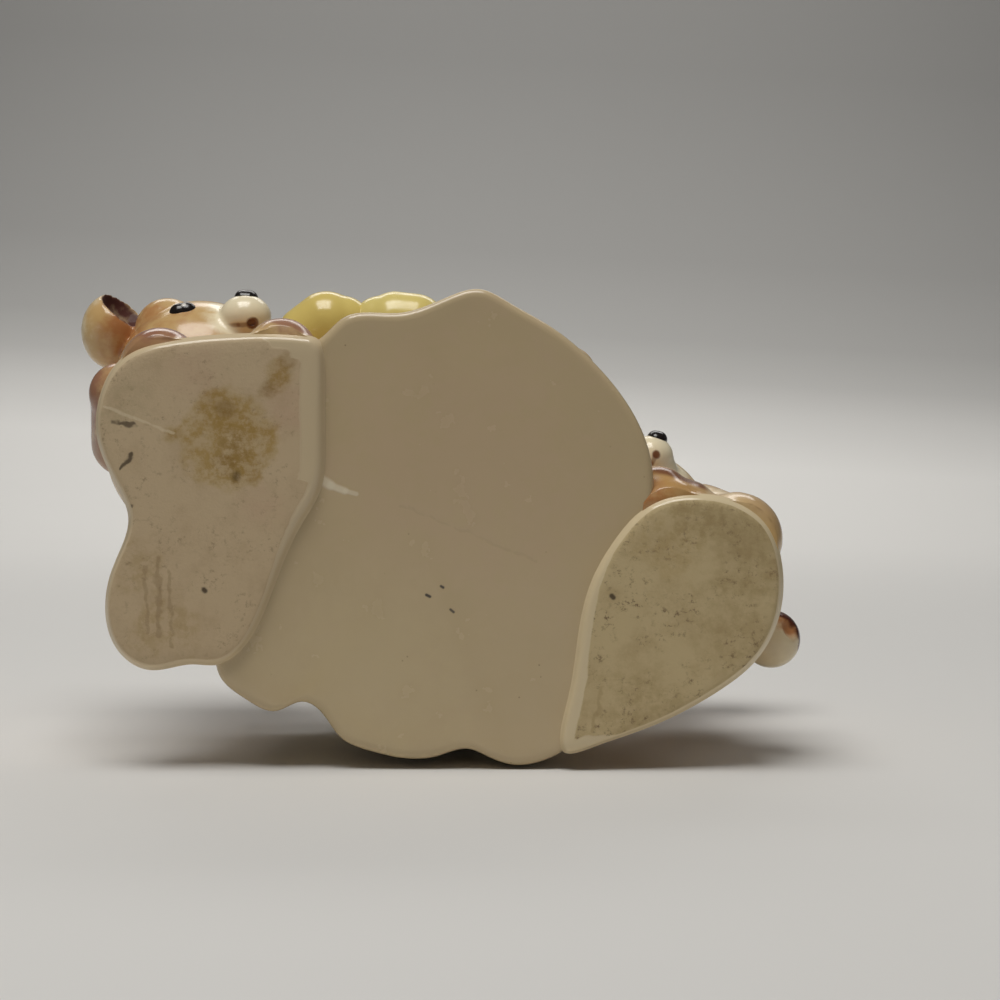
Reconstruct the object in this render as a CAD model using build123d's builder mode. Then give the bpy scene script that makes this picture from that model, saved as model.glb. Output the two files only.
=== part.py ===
from build123d import *

import math
import os
from dataclasses import dataclass

# A glazed ceramic planter: two bear cubs lean on a planting pot and stand on two dry pads.
# Millimetres, +Z up, the cubs look towards -Y, and the pads rest on Z = 0.

# Dry foot pads, which lift the glazed underside clear of the surface
pad_height = 2.2
pad_edge = 0.9
left_pad_width = 52.0
left_pad_depth = 76.8
right_pad_width = 50.0
right_pad_depth = 59.2
vent_radius = 0.9

# Planting pot
pot_x = 6.0
pot_y = 3.3
pot_length = 102.0
pot_depth = 110.2
pot_height = 74.0
pot_wall = 4.4
pot_floor = 5.0
pot_lean_x = -8.0
pot_lean_y = 5.4
rim_edge = 1.5

# Cubs, cast hollow; every limb is a ball at each end and the cone that joins them
cast_wall = 4.0
stand_off = 5.0
torso_radius = 22.5
torso_rise = 12.0
neck_radius = 15.0
torso_height = 76.0
rump_radius = 13.5
rump_rise = 6.0
rump_top_radius = 9.5
rump_top_rise = 22.0
head_radius = 23.0
neck_drop = 14.0
muzzle_radius = 8.0
muzzle_tip_radius = 6.8
muzzle_length = 4.6
nose_radius = 3.0
eye_radius = 3.1
eye_sink = 1.5
ear_radius = 9.3
ear_dish_radius = 7.6
ear_dish_out = 10.0
outer_leg_radius = 12.5
outer_toe_radius = 10.6
outer_leg_length = 14.0
inner_leg_radius = 10.5
inner_toe_radius = 8.5
inner_leg_length = 14.0
arm_radius = 8.4
paw_radius = 7.4
tail_radius = 7.2

# Bow on the front of the pot
bow_x = -13.8
bow_rise = 38.0
bow_loop_radius = 8.6
bow_left_length = 4.3
bow_left_sweep = 2.6
bow_right_length = 4.5
bow_knot_radius = 4.6

# Pieces are luted together with slip, which fills this gap between a piece and its neighbour
lute_gap = 0.1

# Cuts run this far past the faces that they open
overrun = 8.0

# Outlines of the underside, as shares of half the width and half the depth
pot_outline_shares = [
    (0.14, 0.93), (0.01, 0.96), (-0.15, 0.97), (-0.30, 0.94), (-0.44, 0.88),
    (-0.53, 0.77), (-0.61, 0.73), (-0.73, 0.77), (-0.87, 0.72), (-0.99, 0.62),
    (-1.00, 0.45), (-0.90, 0.16), (-0.82, -0.10), (-0.76, -0.39), (-0.73, -0.71),
    (-0.53, -0.80), (-0.42, -0.89), (-0.17, -0.91), (0.06, -0.98), (0.20, -1.01),
    (0.34, -0.95), (0.51, -0.86), (0.72, -0.70), (0.87, -0.53), (0.96, -0.36),
    (0.99, -0.17), (0.94, 0.03), (0.76, 0.27), (0.72, 0.48), (0.67, 0.72),
    (0.59, 0.93), (0.49, 0.98), (0.38, 1.00), (0.25, 0.97),
]
left_pad_shares = [
    (1.00, -0.84), (0.97, -0.95), (0.84, -0.99), (0.28, -1.00), (-0.43, -0.95),
    (-0.86, -0.79), (-1.00, -0.43), (-0.80, -0.07), (-0.72, 0.08), (-0.89, 0.46),
    (-0.88, 0.82), (-0.59, 1.00), (-0.18, 0.97), (0.07, 0.97), (0.29, 0.86),
    (0.53, 0.53), (0.80, 0.12), (0.97, -0.10), (1.00, -0.28), (1.00, -0.56),
]
right_pad_shares = [
    (-0.20, -0.92), (0.25, -1.00), (0.62, -0.93), (0.88, -0.75), (1.00, -0.46),
    (0.99, -0.11), (0.84, 0.20), (0.44, 0.51), (-0.21, 0.80), (-0.74, 0.96),
    (-0.99, 1.00), (-0.95, 0.59), (-0.86, 0.12), (-0.76, -0.27), (-0.54, -0.62),
]

# How far up the pot each section stands, and how wide it is there
pot_level_shares = [(0.0, 1.0), (0.35, 0.97), (0.70, 0.89), (1.0, 0.84)]

# Places on a head, as shares of its radius
muzzle_out_share = 0.84
nose_out_share = 0.88
ear_out_share = 1.32

# Places of the cubs' stands and of the bow, as shares of the pot's depth
left_stand_forward_share = 0.1706
right_stand_back_share = 0.1606
bow_front_share = 0.441

# How much slimmer a bow loop is at its tip
bow_tip_share = 0.93

# Turns, in degrees from the cub's gaze; the heads look down, so eyes and muzzle lie low
eye_turn = 38.0
eye_rise = -26.0
muzzle_rise = -24.0
nose_rise = 32.0
ear_turn = 87.0
ear_rise = 16.0
ear_open = 6.0
ear_drop = -25.0
outer_leg_turn = 24.0
inner_leg_turn = 10.0

# Below this share of upright, a form's section is drawn level with the ground
upright_share = 0.9

# A ball's seam lies clear of the cuts in it: at the cub's back, or this far round an ear
back_seam_angle = 118.0
front_seam_angle = -90.0
left_seam_angle = 180.0
right_seam_angle = 0.0
ear_seam_turn = 135.0


@dataclass
class Cub:
    """One cub: where it stands, how it leans, and where its limbs go.

    The first two numbers of a place are shares of the torso's radius from the middle of its
    stand, and a third is a share of the torso's height.
    """

    side: str
    outer_way: int
    stand: tuple
    neck_share: tuple
    head_share: tuple
    gaze_angle: float
    muzzle_turn: float
    nose_turn: float
    rump_share: tuple
    outer_leg_share: tuple
    inner_leg_share: tuple
    outer_shoulder_share: tuple
    outer_paw_share: tuple
    inner_shoulder_share: tuple
    inner_paw_share: tuple
    pad_outline_shares: list
    pad_size: tuple
    pad_middle_share: tuple
    vent_share: tuple

    def spot(self, share, rise):
        """Returns the point at a height above the pad, over a share of the stand."""
        return Vector(
            self.stand[0] + torso_radius * share[0],
            self.stand[1] + torso_radius * share[1],
            pad_height + rise,
        )

    def place(self, share):
        """Returns the point on the cub that a three-number share names."""
        return self.spot(share, torso_height * share[2])

    def facing(self, turn=0.0, rise=0.0):
        """Returns the unit vector of the cub's gaze, turned and raised by degrees."""
        angle = math.radians(self.gaze_angle + turn)
        lift = math.radians(rise)
        level_share = math.cos(lift)
        return Vector(
            math.cos(angle) * level_share, math.sin(angle) * level_share, math.sin(lift)
        )

    def head_middle(self):
        """Returns the middle of the head, which sits on the top of the torso."""
        return self.spot(self.head_share, torso_height + head_radius * self.head_share[2])

    def pad_point(self, share):
        """Returns the (x, y) point that a share of half the pad's size names."""
        pad_x = self.stand[0] + self.pad_size[0] * self.pad_middle_share[0]
        pad_y = self.stand[1] + self.pad_size[1] * self.pad_middle_share[1]
        return (
            pad_x + self.pad_size[0] / 2 * share[0],
            pad_y + self.pad_size[1] / 2 * share[1],
        )


left_cub = Cub(
    side="left",
    outer_way=-1,
    stand=(pot_x - pot_length / 2 - stand_off, pot_y - pot_depth * left_stand_forward_share),
    neck_share=(-0.45, -0.55),
    head_share=(-0.435, -0.711, 0.21),
    gaze_angle=-62.0,
    muzzle_turn=8.0,
    nose_turn=-24.0,
    rump_share=(-0.02, 1.42),
    outer_leg_share=(-0.40, -0.51),
    inner_leg_share=(0.78, -0.66),
    outer_shoulder_share=(-1.05, -0.04, 0.57),
    outer_paw_share=(-1.00, -0.58, 0.40),
    inner_shoulder_share=(0.40, -0.87, 0.735),
    inner_paw_share=(1.16, -0.98, 0.79),
    pad_outline_shares=left_pad_shares,
    pad_size=(left_pad_width, left_pad_depth),
    pad_middle_share=(0.073, 0.163),
    vent_share=(0.023, 0.53),
)
right_cub = Cub(
    side="right",
    outer_way=1,
    stand=(pot_x + pot_length / 2 + stand_off, pot_y + pot_depth * right_stand_back_share),
    neck_share=(-0.25, -0.50),
    head_share=(-0.29, -0.57, 0.38),
    gaze_angle=-73.5,
    muzzle_turn=0.0,
    nose_turn=-4.0,
    rump_share=(-0.44, 0.62),
    outer_leg_share=(0.42, -0.44),
    inner_leg_share=(-0.22, -0.64),
    outer_shoulder_share=(0.44, -0.82, 0.63),
    outer_paw_share=(0.73, -0.76, 0.44),
    inner_shoulder_share=(-0.50, -0.84, 0.78),
    inner_paw_share=(-1.11, -2.40, 0.47),
    pad_outline_shares=right_pad_shares,
    pad_size=(right_pad_width, right_pad_depth),
    pad_middle_share=(-0.030, 0.071),
    vent_share=(-0.53, -0.23),
)
cubs = [left_cub, right_cub]
tail_share = (1.09, 0.45, 0.31)


def finish(part, name):
    """Names a finished piece and writes it to its own file."""
    part.label = name
    export_step(part, f"parts/{name}.step")


def outline(shares, centre, half_width, half_depth, height=0.0, inset=0.0):
    """Returns a closed smooth outline as a sketch, drawn in by inset towards its centre."""
    points = []
    for x_share, y_share in shares:
        x = half_width * x_share
        y = half_depth * y_share
        keep_share = 1 - inset / math.hypot(x, y)
        points.append((centre[0] + x * keep_share, centre[1] + y * keep_share))
    with BuildSketch(Plane.XY.offset(height)) as drawn:
        with BuildLine():
            Spline(*points, periodic=True)
        make_face()
    return drawn.sketch


def pot_section(level_share, width_share, height, inset=0.0):
    """Returns the pot's outline at one height, leaning and narrowing as it rises."""
    centre = (pot_x + pot_lean_x * level_share, pot_y + pot_lean_y * level_share)
    half_width = pot_length / 2 * width_share
    half_depth = pot_depth / 2 * width_share
    return outline(pot_outline_shares, centre, half_width, half_depth, height, inset)


def pot_shape(inset=0.0):
    """Returns the pot's whole outer form, with no hollow, drawn in by inset."""
    with BuildPart() as form:
        loft([
            pot_section(level_share, width_share, pad_height + pot_height * level_share, inset)
            for level_share, width_share in pot_level_shares
        ])
    return form.part


def ball(centre, radius, seam_angle=back_seam_angle):
    """Returns a ball whose seam lies at an angle round from +X, clear of the cuts in it."""
    with BuildPart() as form:
        with Locations(Location(tuple(centre), (0, 0, seam_angle))):
            Sphere(radius)
    return form.part


def rounded(start, end, start_radius, end_radius):
    """Returns a round limb: a ball at each end and the smooth cone that joins them."""
    along = (end - start).normalized()
    span = (end - start).length
    tilt = math.degrees(math.asin((start_radius - end_radius) / span))
    level = Vector(0, 0, 1) if abs(along.Z) < upright_share else Vector(0, 1, 0)
    with BuildPart() as form:
        with BuildSketch(Plane(origin=start, x_dir=along, z_dir=along.cross(level))):
            with BuildLine():
                near = CenterArc((0, 0), start_radius, 90 - tilt, 90 + tilt)
                far = CenterArc((span, 0), end_radius, 0, 90 - tilt)
                Line(far @ 1, near @ 0)
                Line(near @ 1, far @ 0)
            make_face()
        revolve(axis=Axis(start, along))
    return form.part


def torso_shape(cub, inset=0.0):
    """Returns a cub's upright torso, narrower at the neck, drawn in by inset."""
    low = cub.spot((0, 0), torso_rise)
    high = cub.spot(cub.neck_share, torso_height - neck_radius)
    return rounded(low, high, torso_radius - inset, neck_radius - inset)


def rump_shape(cub, inset=0.0):
    """Returns a cub's rump, low down behind the torso, drawn in by inset."""
    low = cub.spot(cub.rump_share, rump_rise)
    high = cub.spot(cub.rump_share, rump_top_rise)
    return rounded(low, high, rump_radius - inset, rump_top_radius - inset)


def leg_shape(cub, share, turn, radius, toe_radius, length, inset=0.0):
    """Returns a leg lying along the top of the pad, drawn in by inset."""
    middle = cub.spot(share, radius / 2)
    reach = cub.facing(turn * cub.outer_way) * (length / 2)
    return rounded(middle - reach, middle + reach, radius - inset, toe_radius - inset)


os.makedirs("parts", exist_ok=True)
pad_top = Plane.XY.offset(pad_height)


# Foot pads, each with a vent into the hollow above it
for cub in cubs:
    pad_width, pad_depth = cub.pad_size
    with BuildPart() as foot_pad:
        with BuildSketch():
            add(outline(
                cub.pad_outline_shares, cub.pad_point((0, 0)), pad_width / 2, pad_depth / 2
            ))
            with Locations(cub.pad_point(cub.vent_share)):
                Circle(vent_radius, mode=Mode.SUBTRACT)
        extrude(amount=pad_height)
        underside = foot_pad.faces().sort_by(Axis.Z)[0]
        chamfer(underside.outer_wire().edges(), pad_edge)
    finish(foot_pad.part, f"{cub.side}_foot_pad")

# Planting pot, open at the top
with BuildPart() as pot:
    add(pot_shape())
    loft([
        pot_section(
            level_share,
            width_share,
            pad_height + pot_floor + (pot_height - pot_floor + overrun) * level_share,
            pot_wall,
        )
        for level_share, width_share in pot_level_shares
    ], mode=Mode.SUBTRACT)
    level_faces = pot.faces().filter_by(Axis.Z).sort_by(Axis.Z)
    fillet(level_faces[0].edges() + level_faces[-1].outer_wire().edges(), rim_edge)
finish(pot.part, "pot")

for cub in cubs:
    head_middle = cub.head_middle()
    neck = Plane.XY.offset(head_middle.Z - neck_drop)

    # Torso, rump and head, hollow inside, with the head seated level on the neck
    with BuildPart() as torso:
        add(torso_shape(cub))
        add(torso_shape(cub, cast_wall), mode=Mode.SUBTRACT)
        split(bisect_by=pad_top, keep=Keep.TOP)
        split(bisect_by=neck, keep=Keep.BOTTOM)
        add(pot_shape(-lute_gap), mode=Mode.SUBTRACT)
    finish(torso.part, f"{cub.side}_cub_torso")

    with BuildPart() as rump:
        add(rump_shape(cub))
        add(rump_shape(cub, cast_wall), mode=Mode.SUBTRACT)
        split(bisect_by=pad_top, keep=Keep.TOP)
        add(torso_shape(cub, -lute_gap), mode=Mode.SUBTRACT)
        add(pot_shape(-lute_gap), mode=Mode.SUBTRACT)
    finish(rump.part, f"{cub.side}_cub_rump")

    with BuildPart() as head:
        add(ball(head_middle, head_radius))
        add(ball(head_middle, head_radius - cast_wall), mode=Mode.SUBTRACT)
        split(bisect_by=neck, keep=Keep.TOP)
        add(pot_shape(-lute_gap), mode=Mode.SUBTRACT)
    finish(head.part, f"{cub.side}_cub_head")

    # Muzzle and nose
    muzzle_out = cub.facing(cub.muzzle_turn, muzzle_rise)
    muzzle_start = head_middle + muzzle_out * (head_radius * muzzle_out_share)
    muzzle_end = muzzle_start + muzzle_out * muzzle_length
    with BuildPart() as muzzle:
        add(rounded(muzzle_start, muzzle_end, muzzle_radius, muzzle_tip_radius))
        add(ball(head_middle, head_radius + lute_gap), mode=Mode.SUBTRACT)
    finish(muzzle.part, f"{cub.side}_cub_muzzle")

    nose_out = cub.facing(cub.nose_turn, nose_rise)
    nose_middle = muzzle_end + nose_out * (muzzle_tip_radius * nose_out_share)
    with BuildPart() as nose:
        add(ball(nose_middle, nose_radius, cub.gaze_angle))
        add(rounded(
            muzzle_start, muzzle_end, muzzle_radius + lute_gap, muzzle_tip_radius + lute_gap
        ), mode=Mode.SUBTRACT)
    finish(nose.part, f"{cub.side}_cub_nose")

    # Eyes, one node for the pair
    with BuildPart() as eyes:
        for turn in (-eye_turn, eye_turn):
            eye_out = cub.facing(turn, eye_rise)
            eye_middle = head_middle + eye_out * (head_radius - eye_sink)
            add(ball(eye_middle, eye_radius))
        add(ball(head_middle, head_radius + lute_gap), mode=Mode.SUBTRACT)
    finish(eyes.part, f"{cub.side}_cub_eyes")

    # Ears, dished in front
    for name, way in (("outer_ear", cub.outer_way), ("inner_ear", -cub.outer_way)):
        ear_out = cub.facing(ear_turn * way, ear_rise)
        ear_middle = head_middle + ear_out * (head_radius * ear_out_share)
        dish_middle = ear_middle + cub.facing(ear_open * way, ear_drop) * ear_dish_out
        with BuildPart() as ear:
            add(ball(ear_middle, ear_radius, cub.gaze_angle + ear_seam_turn * way))
            add(ball(head_middle, head_radius + lute_gap), mode=Mode.SUBTRACT)
            add(ball(dish_middle, ear_dish_radius, cub.gaze_angle), mode=Mode.SUBTRACT)
        finish(ear.part, f"{cub.side}_cub_{name}")

    # Legs, stretched forward over the pad
    outer_leg_sizes = (
        cub.outer_leg_share, outer_leg_turn,
        outer_leg_radius, outer_toe_radius, outer_leg_length,
    )
    inner_leg_sizes = (
        cub.inner_leg_share, inner_leg_turn,
        inner_leg_radius, inner_toe_radius, inner_leg_length,
    )
    with BuildPart() as outer_leg:
        add(leg_shape(cub, *outer_leg_sizes))
        split(bisect_by=pad_top, keep=Keep.TOP)
        add(torso_shape(cub, -lute_gap), mode=Mode.SUBTRACT)
        add(rump_shape(cub, -lute_gap), mode=Mode.SUBTRACT)
        add(pot_shape(-lute_gap), mode=Mode.SUBTRACT)
    finish(outer_leg.part, f"{cub.side}_cub_outer_leg")
    with BuildPart() as inner_leg:
        add(leg_shape(cub, *inner_leg_sizes))
        split(bisect_by=pad_top, keep=Keep.TOP)
        add(leg_shape(cub, *outer_leg_sizes, -lute_gap), mode=Mode.SUBTRACT)
        add(torso_shape(cub, -lute_gap), mode=Mode.SUBTRACT)
        add(rump_shape(cub, -lute_gap), mode=Mode.SUBTRACT)
        add(pot_shape(-lute_gap), mode=Mode.SUBTRACT)
    finish(inner_leg.part, f"{cub.side}_cub_inner_leg")

    # Arms: the outer one rests on its leg, and the inner one holds the pot
    arm_places = (
        ("outer_arm", cub.outer_shoulder_share, cub.outer_paw_share),
        ("inner_arm", cub.inner_shoulder_share, cub.inner_paw_share),
    )
    for name, shoulder_share, paw_share in arm_places:
        with BuildPart() as arm:
            add(rounded(
                cub.place(shoulder_share), cub.place(paw_share), arm_radius, paw_radius
            ))
            add(torso_shape(cub, -lute_gap), mode=Mode.SUBTRACT)
            add(pot_shape(-lute_gap), mode=Mode.SUBTRACT)
            add(ball(head_middle, head_radius + lute_gap), mode=Mode.SUBTRACT)
            add(leg_shape(cub, *outer_leg_sizes, -lute_gap), mode=Mode.SUBTRACT)
        finish(arm.part, f"{cub.side}_cub_{name}")

# Tail, which shows on the right cub alone
with BuildPart() as tail:
    add(ball(right_cub.place(tail_share), tail_radius))
    add(torso_shape(right_cub, -lute_gap), mode=Mode.SUBTRACT)
    add(rump_shape(right_cub, -lute_gap), mode=Mode.SUBTRACT)
finish(tail.part, "right_cub_tail")

# Bow: two loops seated on the pot's front wall, and the knot between them
bow_front = pot_y - pot_depth * bow_front_share
bow_z = pad_height + bow_rise
bow_knot_middle = (bow_x, bow_front, bow_z)
with BuildPart() as bow_knot:
    add(ball(bow_knot_middle, bow_knot_radius, front_seam_angle))
    add(pot_shape(-lute_gap), mode=Mode.SUBTRACT)
finish(bow_knot.part, "bow_knot")

loop_places = (
    ("left", -1, bow_left_length, bow_left_sweep, right_seam_angle),
    ("right", 1, bow_right_length, 0, left_seam_angle),
)
for side, way, loop_length, loop_sweep, seam_angle in loop_places:
    loop_start = Vector(bow_x + way * (bow_loop_radius + lute_gap), bow_front, bow_z)
    loop_end = loop_start + Vector(way * loop_length, loop_sweep, 0)
    with BuildPart() as bow_loop:
        add(rounded(loop_start, loop_end, bow_loop_radius, bow_loop_radius * bow_tip_share))
        add(ball(bow_knot_middle, bow_knot_radius + lute_gap, seam_angle), mode=Mode.SUBTRACT)
        add(pot_shape(-lute_gap), mode=Mode.SUBTRACT)
    finish(bow_loop.part, f"bow_{side}_loop")
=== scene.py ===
"""Dresses the bear cub planter: blended slip-cast forms, glazes and dry foot pads."""

import logging
import math
from dataclasses import dataclass, field
from enum import Enum

import bmesh
import bpy
import numpy as np
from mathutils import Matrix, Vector


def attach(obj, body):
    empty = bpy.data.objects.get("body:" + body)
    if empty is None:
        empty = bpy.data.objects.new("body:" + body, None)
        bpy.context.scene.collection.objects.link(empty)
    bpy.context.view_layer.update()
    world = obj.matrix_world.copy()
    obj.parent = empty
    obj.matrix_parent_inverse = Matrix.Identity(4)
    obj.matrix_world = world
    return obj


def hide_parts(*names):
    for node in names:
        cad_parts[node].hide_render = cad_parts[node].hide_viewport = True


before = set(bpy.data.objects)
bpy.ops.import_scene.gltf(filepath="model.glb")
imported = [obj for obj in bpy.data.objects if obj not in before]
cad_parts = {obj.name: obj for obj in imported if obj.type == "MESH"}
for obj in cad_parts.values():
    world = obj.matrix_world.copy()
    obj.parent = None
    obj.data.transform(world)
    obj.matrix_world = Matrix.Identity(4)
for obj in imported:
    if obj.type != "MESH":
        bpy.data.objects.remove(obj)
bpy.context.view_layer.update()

log = logging.getLogger("planter")
logging.basicConfig(level=logging.INFO, format="%(name)s: %(message)s")

MM = 0.001
Point = tuple[float, float, float]
Flat = tuple[float, float]
Colour = tuple[float, float, float]


class Side(Enum):
    """The two cubs, named by the side of the pot that each leans on."""

    LEFT = "left"
    RIGHT = "right"


def metres(x: float, y: float, z: float) -> Vector:
    """Returns a point given in millimetres as a vector in metres."""
    return Vector((x, y, z)) * MM


def millimetres(at: Vector) -> Point:
    """Returns a vector in metres as a point in millimetres."""
    return tuple(c / MM for c in at)


# Mesh work


def clear_selection() -> None:
    """Leaves object mode ready with nothing selected."""
    if bpy.context.mode != "OBJECT":
        bpy.ops.object.mode_set(mode="OBJECT")
    bpy.ops.object.select_all(action="DESELECT")


def choose(*things: bpy.types.Object) -> None:
    """Selects objects and makes the first one active.

    Args:
        things: the objects to select.
    """
    clear_selection()
    for thing in things:
        thing.select_set(True)
    bpy.context.view_layer.objects.active = things[0]


def place_in_mesh(thing: bpy.types.Object) -> None:
    """Moves an object's place, turn and size into its mesh."""
    choose(thing)
    bpy.ops.object.transform_apply(location=True, rotation=True, scale=True)


def apply_modifier(thing: bpy.types.Object, name: str, kind: str, **settings: object) -> None:
    """Adds a modifier, sets it and applies it.

    Args:
        thing: the object to change.
        name: the modifier's name.
        kind: the modifier's type.
        settings: its properties by name.
    """
    modifier = thing.modifiers.new(name, kind)
    for key, value in settings.items():
        setattr(modifier, key, value)
    choose(thing)
    bpy.ops.object.modifier_apply(modifier=modifier.name)


def clay_ball(centre: Vector, radii: Vector, steps: int = 5) -> bpy.types.Object:
    """Returns a ball of clay stretched to three radii.

    Args:
        centre: its middle, in metres.
        radii: its radii along X, Y and Z, in metres.
        steps: how finely it is divided.

    Returns:
        the ball.
    """
    clear_selection()
    bpy.ops.mesh.primitive_ico_sphere_add(
        subdivisions=steps, radius=1.0, location=centre, scale=radii
    )
    thing = bpy.context.active_object
    place_in_mesh(thing)
    return thing


def clay_limb(start: Vector, end: Vector, radius: float, tip: float) -> bpy.types.Object:
    """Returns a rolled limb: a ball drawn out from one point to another.

    The ball's far half is slid along the limb and sized to the tip, as clay is rolled out.

    Args:
        start: the middle of the thick end, in metres.
        end: the middle of the tip, in metres.
        radius: the thick end's radius, in metres.
        tip: the tip's radius, in metres.

    Returns:
        the limb.
    """
    along = end - start
    turn = along.to_track_quat("Z", "Y")
    clear_selection()
    bpy.ops.mesh.primitive_uv_sphere_add(segments=48, ring_count=33, radius=1.0)
    thing = bpy.context.active_object
    for vertex in thing.data.vertices:
        spot = Vector(vertex.co)
        if spot.z > 0:
            vertex.co = start + turn @ (spot * tip) + along
        else:
            vertex.co = start + turn @ (spot * radius)
    return thing


def rub(thing: bpy.types.Object, grain: float, rubs: int) -> None:
    """Gives a piece one even skin and rubs it smooth.

    Args:
        thing: the piece.
        grain: the size of the skin's faces, in metres.
        rubs: how often the skin is smoothed.
    """
    apply_modifier(thing, "Skin", "REMESH", mode="VOXEL", voxel_size=grain)
    apply_modifier(thing, "Rub", "SMOOTH", factor=0.5, iterations=rubs)


def fuse(name: str, things: list[bpy.types.Object], grain: float, rubs: int) -> bpy.types.Object:
    """Joins pieces of clay into one skin and rubs the joints smooth.

    Args:
        name: the new piece's name.
        things: the closed forms to join.
        grain: the size of the skin's faces, in metres.
        rubs: how often the skin is smoothed.

    Returns:
        the joined piece.
    """
    choose(*things)
    if len(things) > 1:
        bpy.ops.object.join()
    thing = bpy.context.active_object
    thing.name = name
    rub(thing, grain, rubs)
    return thing


def slice_flat(thing: bpy.types.Object, height: float) -> None:
    """Cuts a piece flat at a height and closes the cut.

    Args:
        thing: the piece to cut.
        height: the height of the cut, in metres; what is below it goes.
    """
    choose(thing)
    bpy.ops.object.mode_set(mode="EDIT")
    bpy.ops.mesh.select_all(action="SELECT")
    bpy.ops.mesh.bisect(
        plane_co=(0, 0, height), plane_no=(0, 0, 1), use_fill=True, clear_inner=True
    )
    bpy.ops.object.mode_set(mode="OBJECT")


def carve(thing: bpy.types.Object, tool: bpy.types.Object) -> None:
    """Cuts one form out of another and removes the tool.

    Args:
        thing: the piece that is cut.
        tool: the closed form that cuts it.
    """
    apply_modifier(thing, "Carve", "BOOLEAN", operation="DIFFERENCE", object=tool, solver="EXACT")
    bpy.data.objects.remove(tool, do_unlink=True)


def smooth_loop(points: list[Flat], count: int) -> np.ndarray:
    """Returns evenly stepped points of a closed smooth curve through given points.

    Args:
        points: the points that the curve passes, in order.
        count: how many points to return.

    Returns:
        the curve's points, one in each row.
    """
    knots = np.array(points, dtype=float)
    size = len(knots)
    steps = np.linalg.norm(np.roll(knots, -1, axis=0) - knots, axis=1)
    before = np.roll(steps, 1)
    matrix = np.zeros((size, size))
    right = np.zeros((size, 2))
    for i in range(size):
        matrix[i, (i - 1) % size] += before[i]
        matrix[i, i] += 2 * (before[i] + steps[i])
        matrix[i, (i + 1) % size] += steps[i]
        ahead = (knots[(i + 1) % size] - knots[i]) / steps[i]
        behind = (knots[i] - knots[i - 1]) / before[i]
        right[i] = 6 * (ahead - behind)
    bends = np.linalg.solve(matrix, right)
    ends = np.concatenate([[0.0], np.cumsum(steps)])
    found = []
    for distance in np.linspace(0.0, ends[-1], count, endpoint=False):
        i = min(int(np.searchsorted(ends, distance, side="right")) - 1, size - 1)
        j = (i + 1) % size
        span = steps[i]
        a = (ends[i + 1] - distance) / span
        b = 1.0 - a
        curve = (a ** 3 - a) * bends[i] + (b ** 3 - b) * bends[j]
        found.append(a * knots[i] + b * knots[j] + curve * span * span / 6)
    return np.array(found)


def level_ring(flat: np.ndarray, height: float) -> np.ndarray:
    """Returns an outline in millimetres as a ring in metres at a height.

    Args:
        flat: the outline's points.
        height: the height of all of them, in millimetres.

    Returns:
        the ring's points.
    """
    return np.hstack([flat, np.full((len(flat), 1), height)]) * MM


def ring_form(name: str, rings: list[np.ndarray]) -> bpy.types.Object:
    """Returns a closed form drawn up ring by ring from a flat disc.

    The first ring is a filled circle set to its outline, and each further ring is extruded
    from the one before and set to its own place. The last ring is closed.

    Args:
        name: the piece's name.
        rings: arrays of points in metres, all of one length and in one order.

    Returns:
        the closed form.
    """
    clear_selection()
    count = len(rings[0])
    bpy.ops.mesh.primitive_circle_add(vertices=count, radius=1.0, fill_type="NGON")
    thing = bpy.context.active_object
    thing.name = name
    bpy.ops.object.mode_set(mode="EDIT")
    shape = bmesh.from_edit_mesh(thing.data)
    shape.verts.ensure_lookup_table()
    order = sorted(shape.verts, key=lambda v: math.atan2(v.co.y, v.co.x) % math.tau)
    for vertex, spot in zip(order, rings[0]):
        vertex.co = spot
    bpy.ops.mesh.select_all(action="SELECT")
    bmesh.update_edit_mesh(thing.data)
    for ring in rings[1:]:
        bpy.ops.mesh.extrude_region_move()
        shape = bmesh.from_edit_mesh(thing.data)
        chosen = [v for v in shape.verts if v.select]
        last = {tuple(round(c, 7) for c in old.co): i for i, old in enumerate(order)}
        order = [None] * count
        for vertex in chosen:
            order[last[tuple(round(c, 7) for c in vertex.co)]] = vertex
        for vertex, spot in zip(order, ring):
            vertex.co = spot
        bmesh.update_edit_mesh(thing.data)
    bpy.ops.mesh.select_all(action="SELECT")
    bpy.ops.mesh.normals_make_consistent(inside=False)
    bpy.ops.object.mode_set(mode="OBJECT")
    return thing


def shade(thing: bpy.types.Object, angle: float = 60.0) -> None:
    """Shades a piece smooth, except along edges sharper than an angle in degrees."""
    choose(thing)
    bpy.ops.object.shade_smooth_by_angle(angle=math.radians(angle))


def finish_piece(
    thing: bpy.types.Object, material: bpy.types.Material, slot: str, *nodes: str
) -> None:
    """Gives a finished piece its material and its place in the part.

    Args:
        thing: the piece.
        material: its material.
        slot: the record's material slot; not used.
        nodes: the CAD nodes that it stands for.
    """
    place_in_mesh(thing)
    thing.data.materials.clear()
    thing.data.materials.append(material)
    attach(thing, "root")
    if nodes:
        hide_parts(*nodes)
    log.info("%s: %d faces", thing.name, len(thing.data.polygons))


# Shader groups


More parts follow.
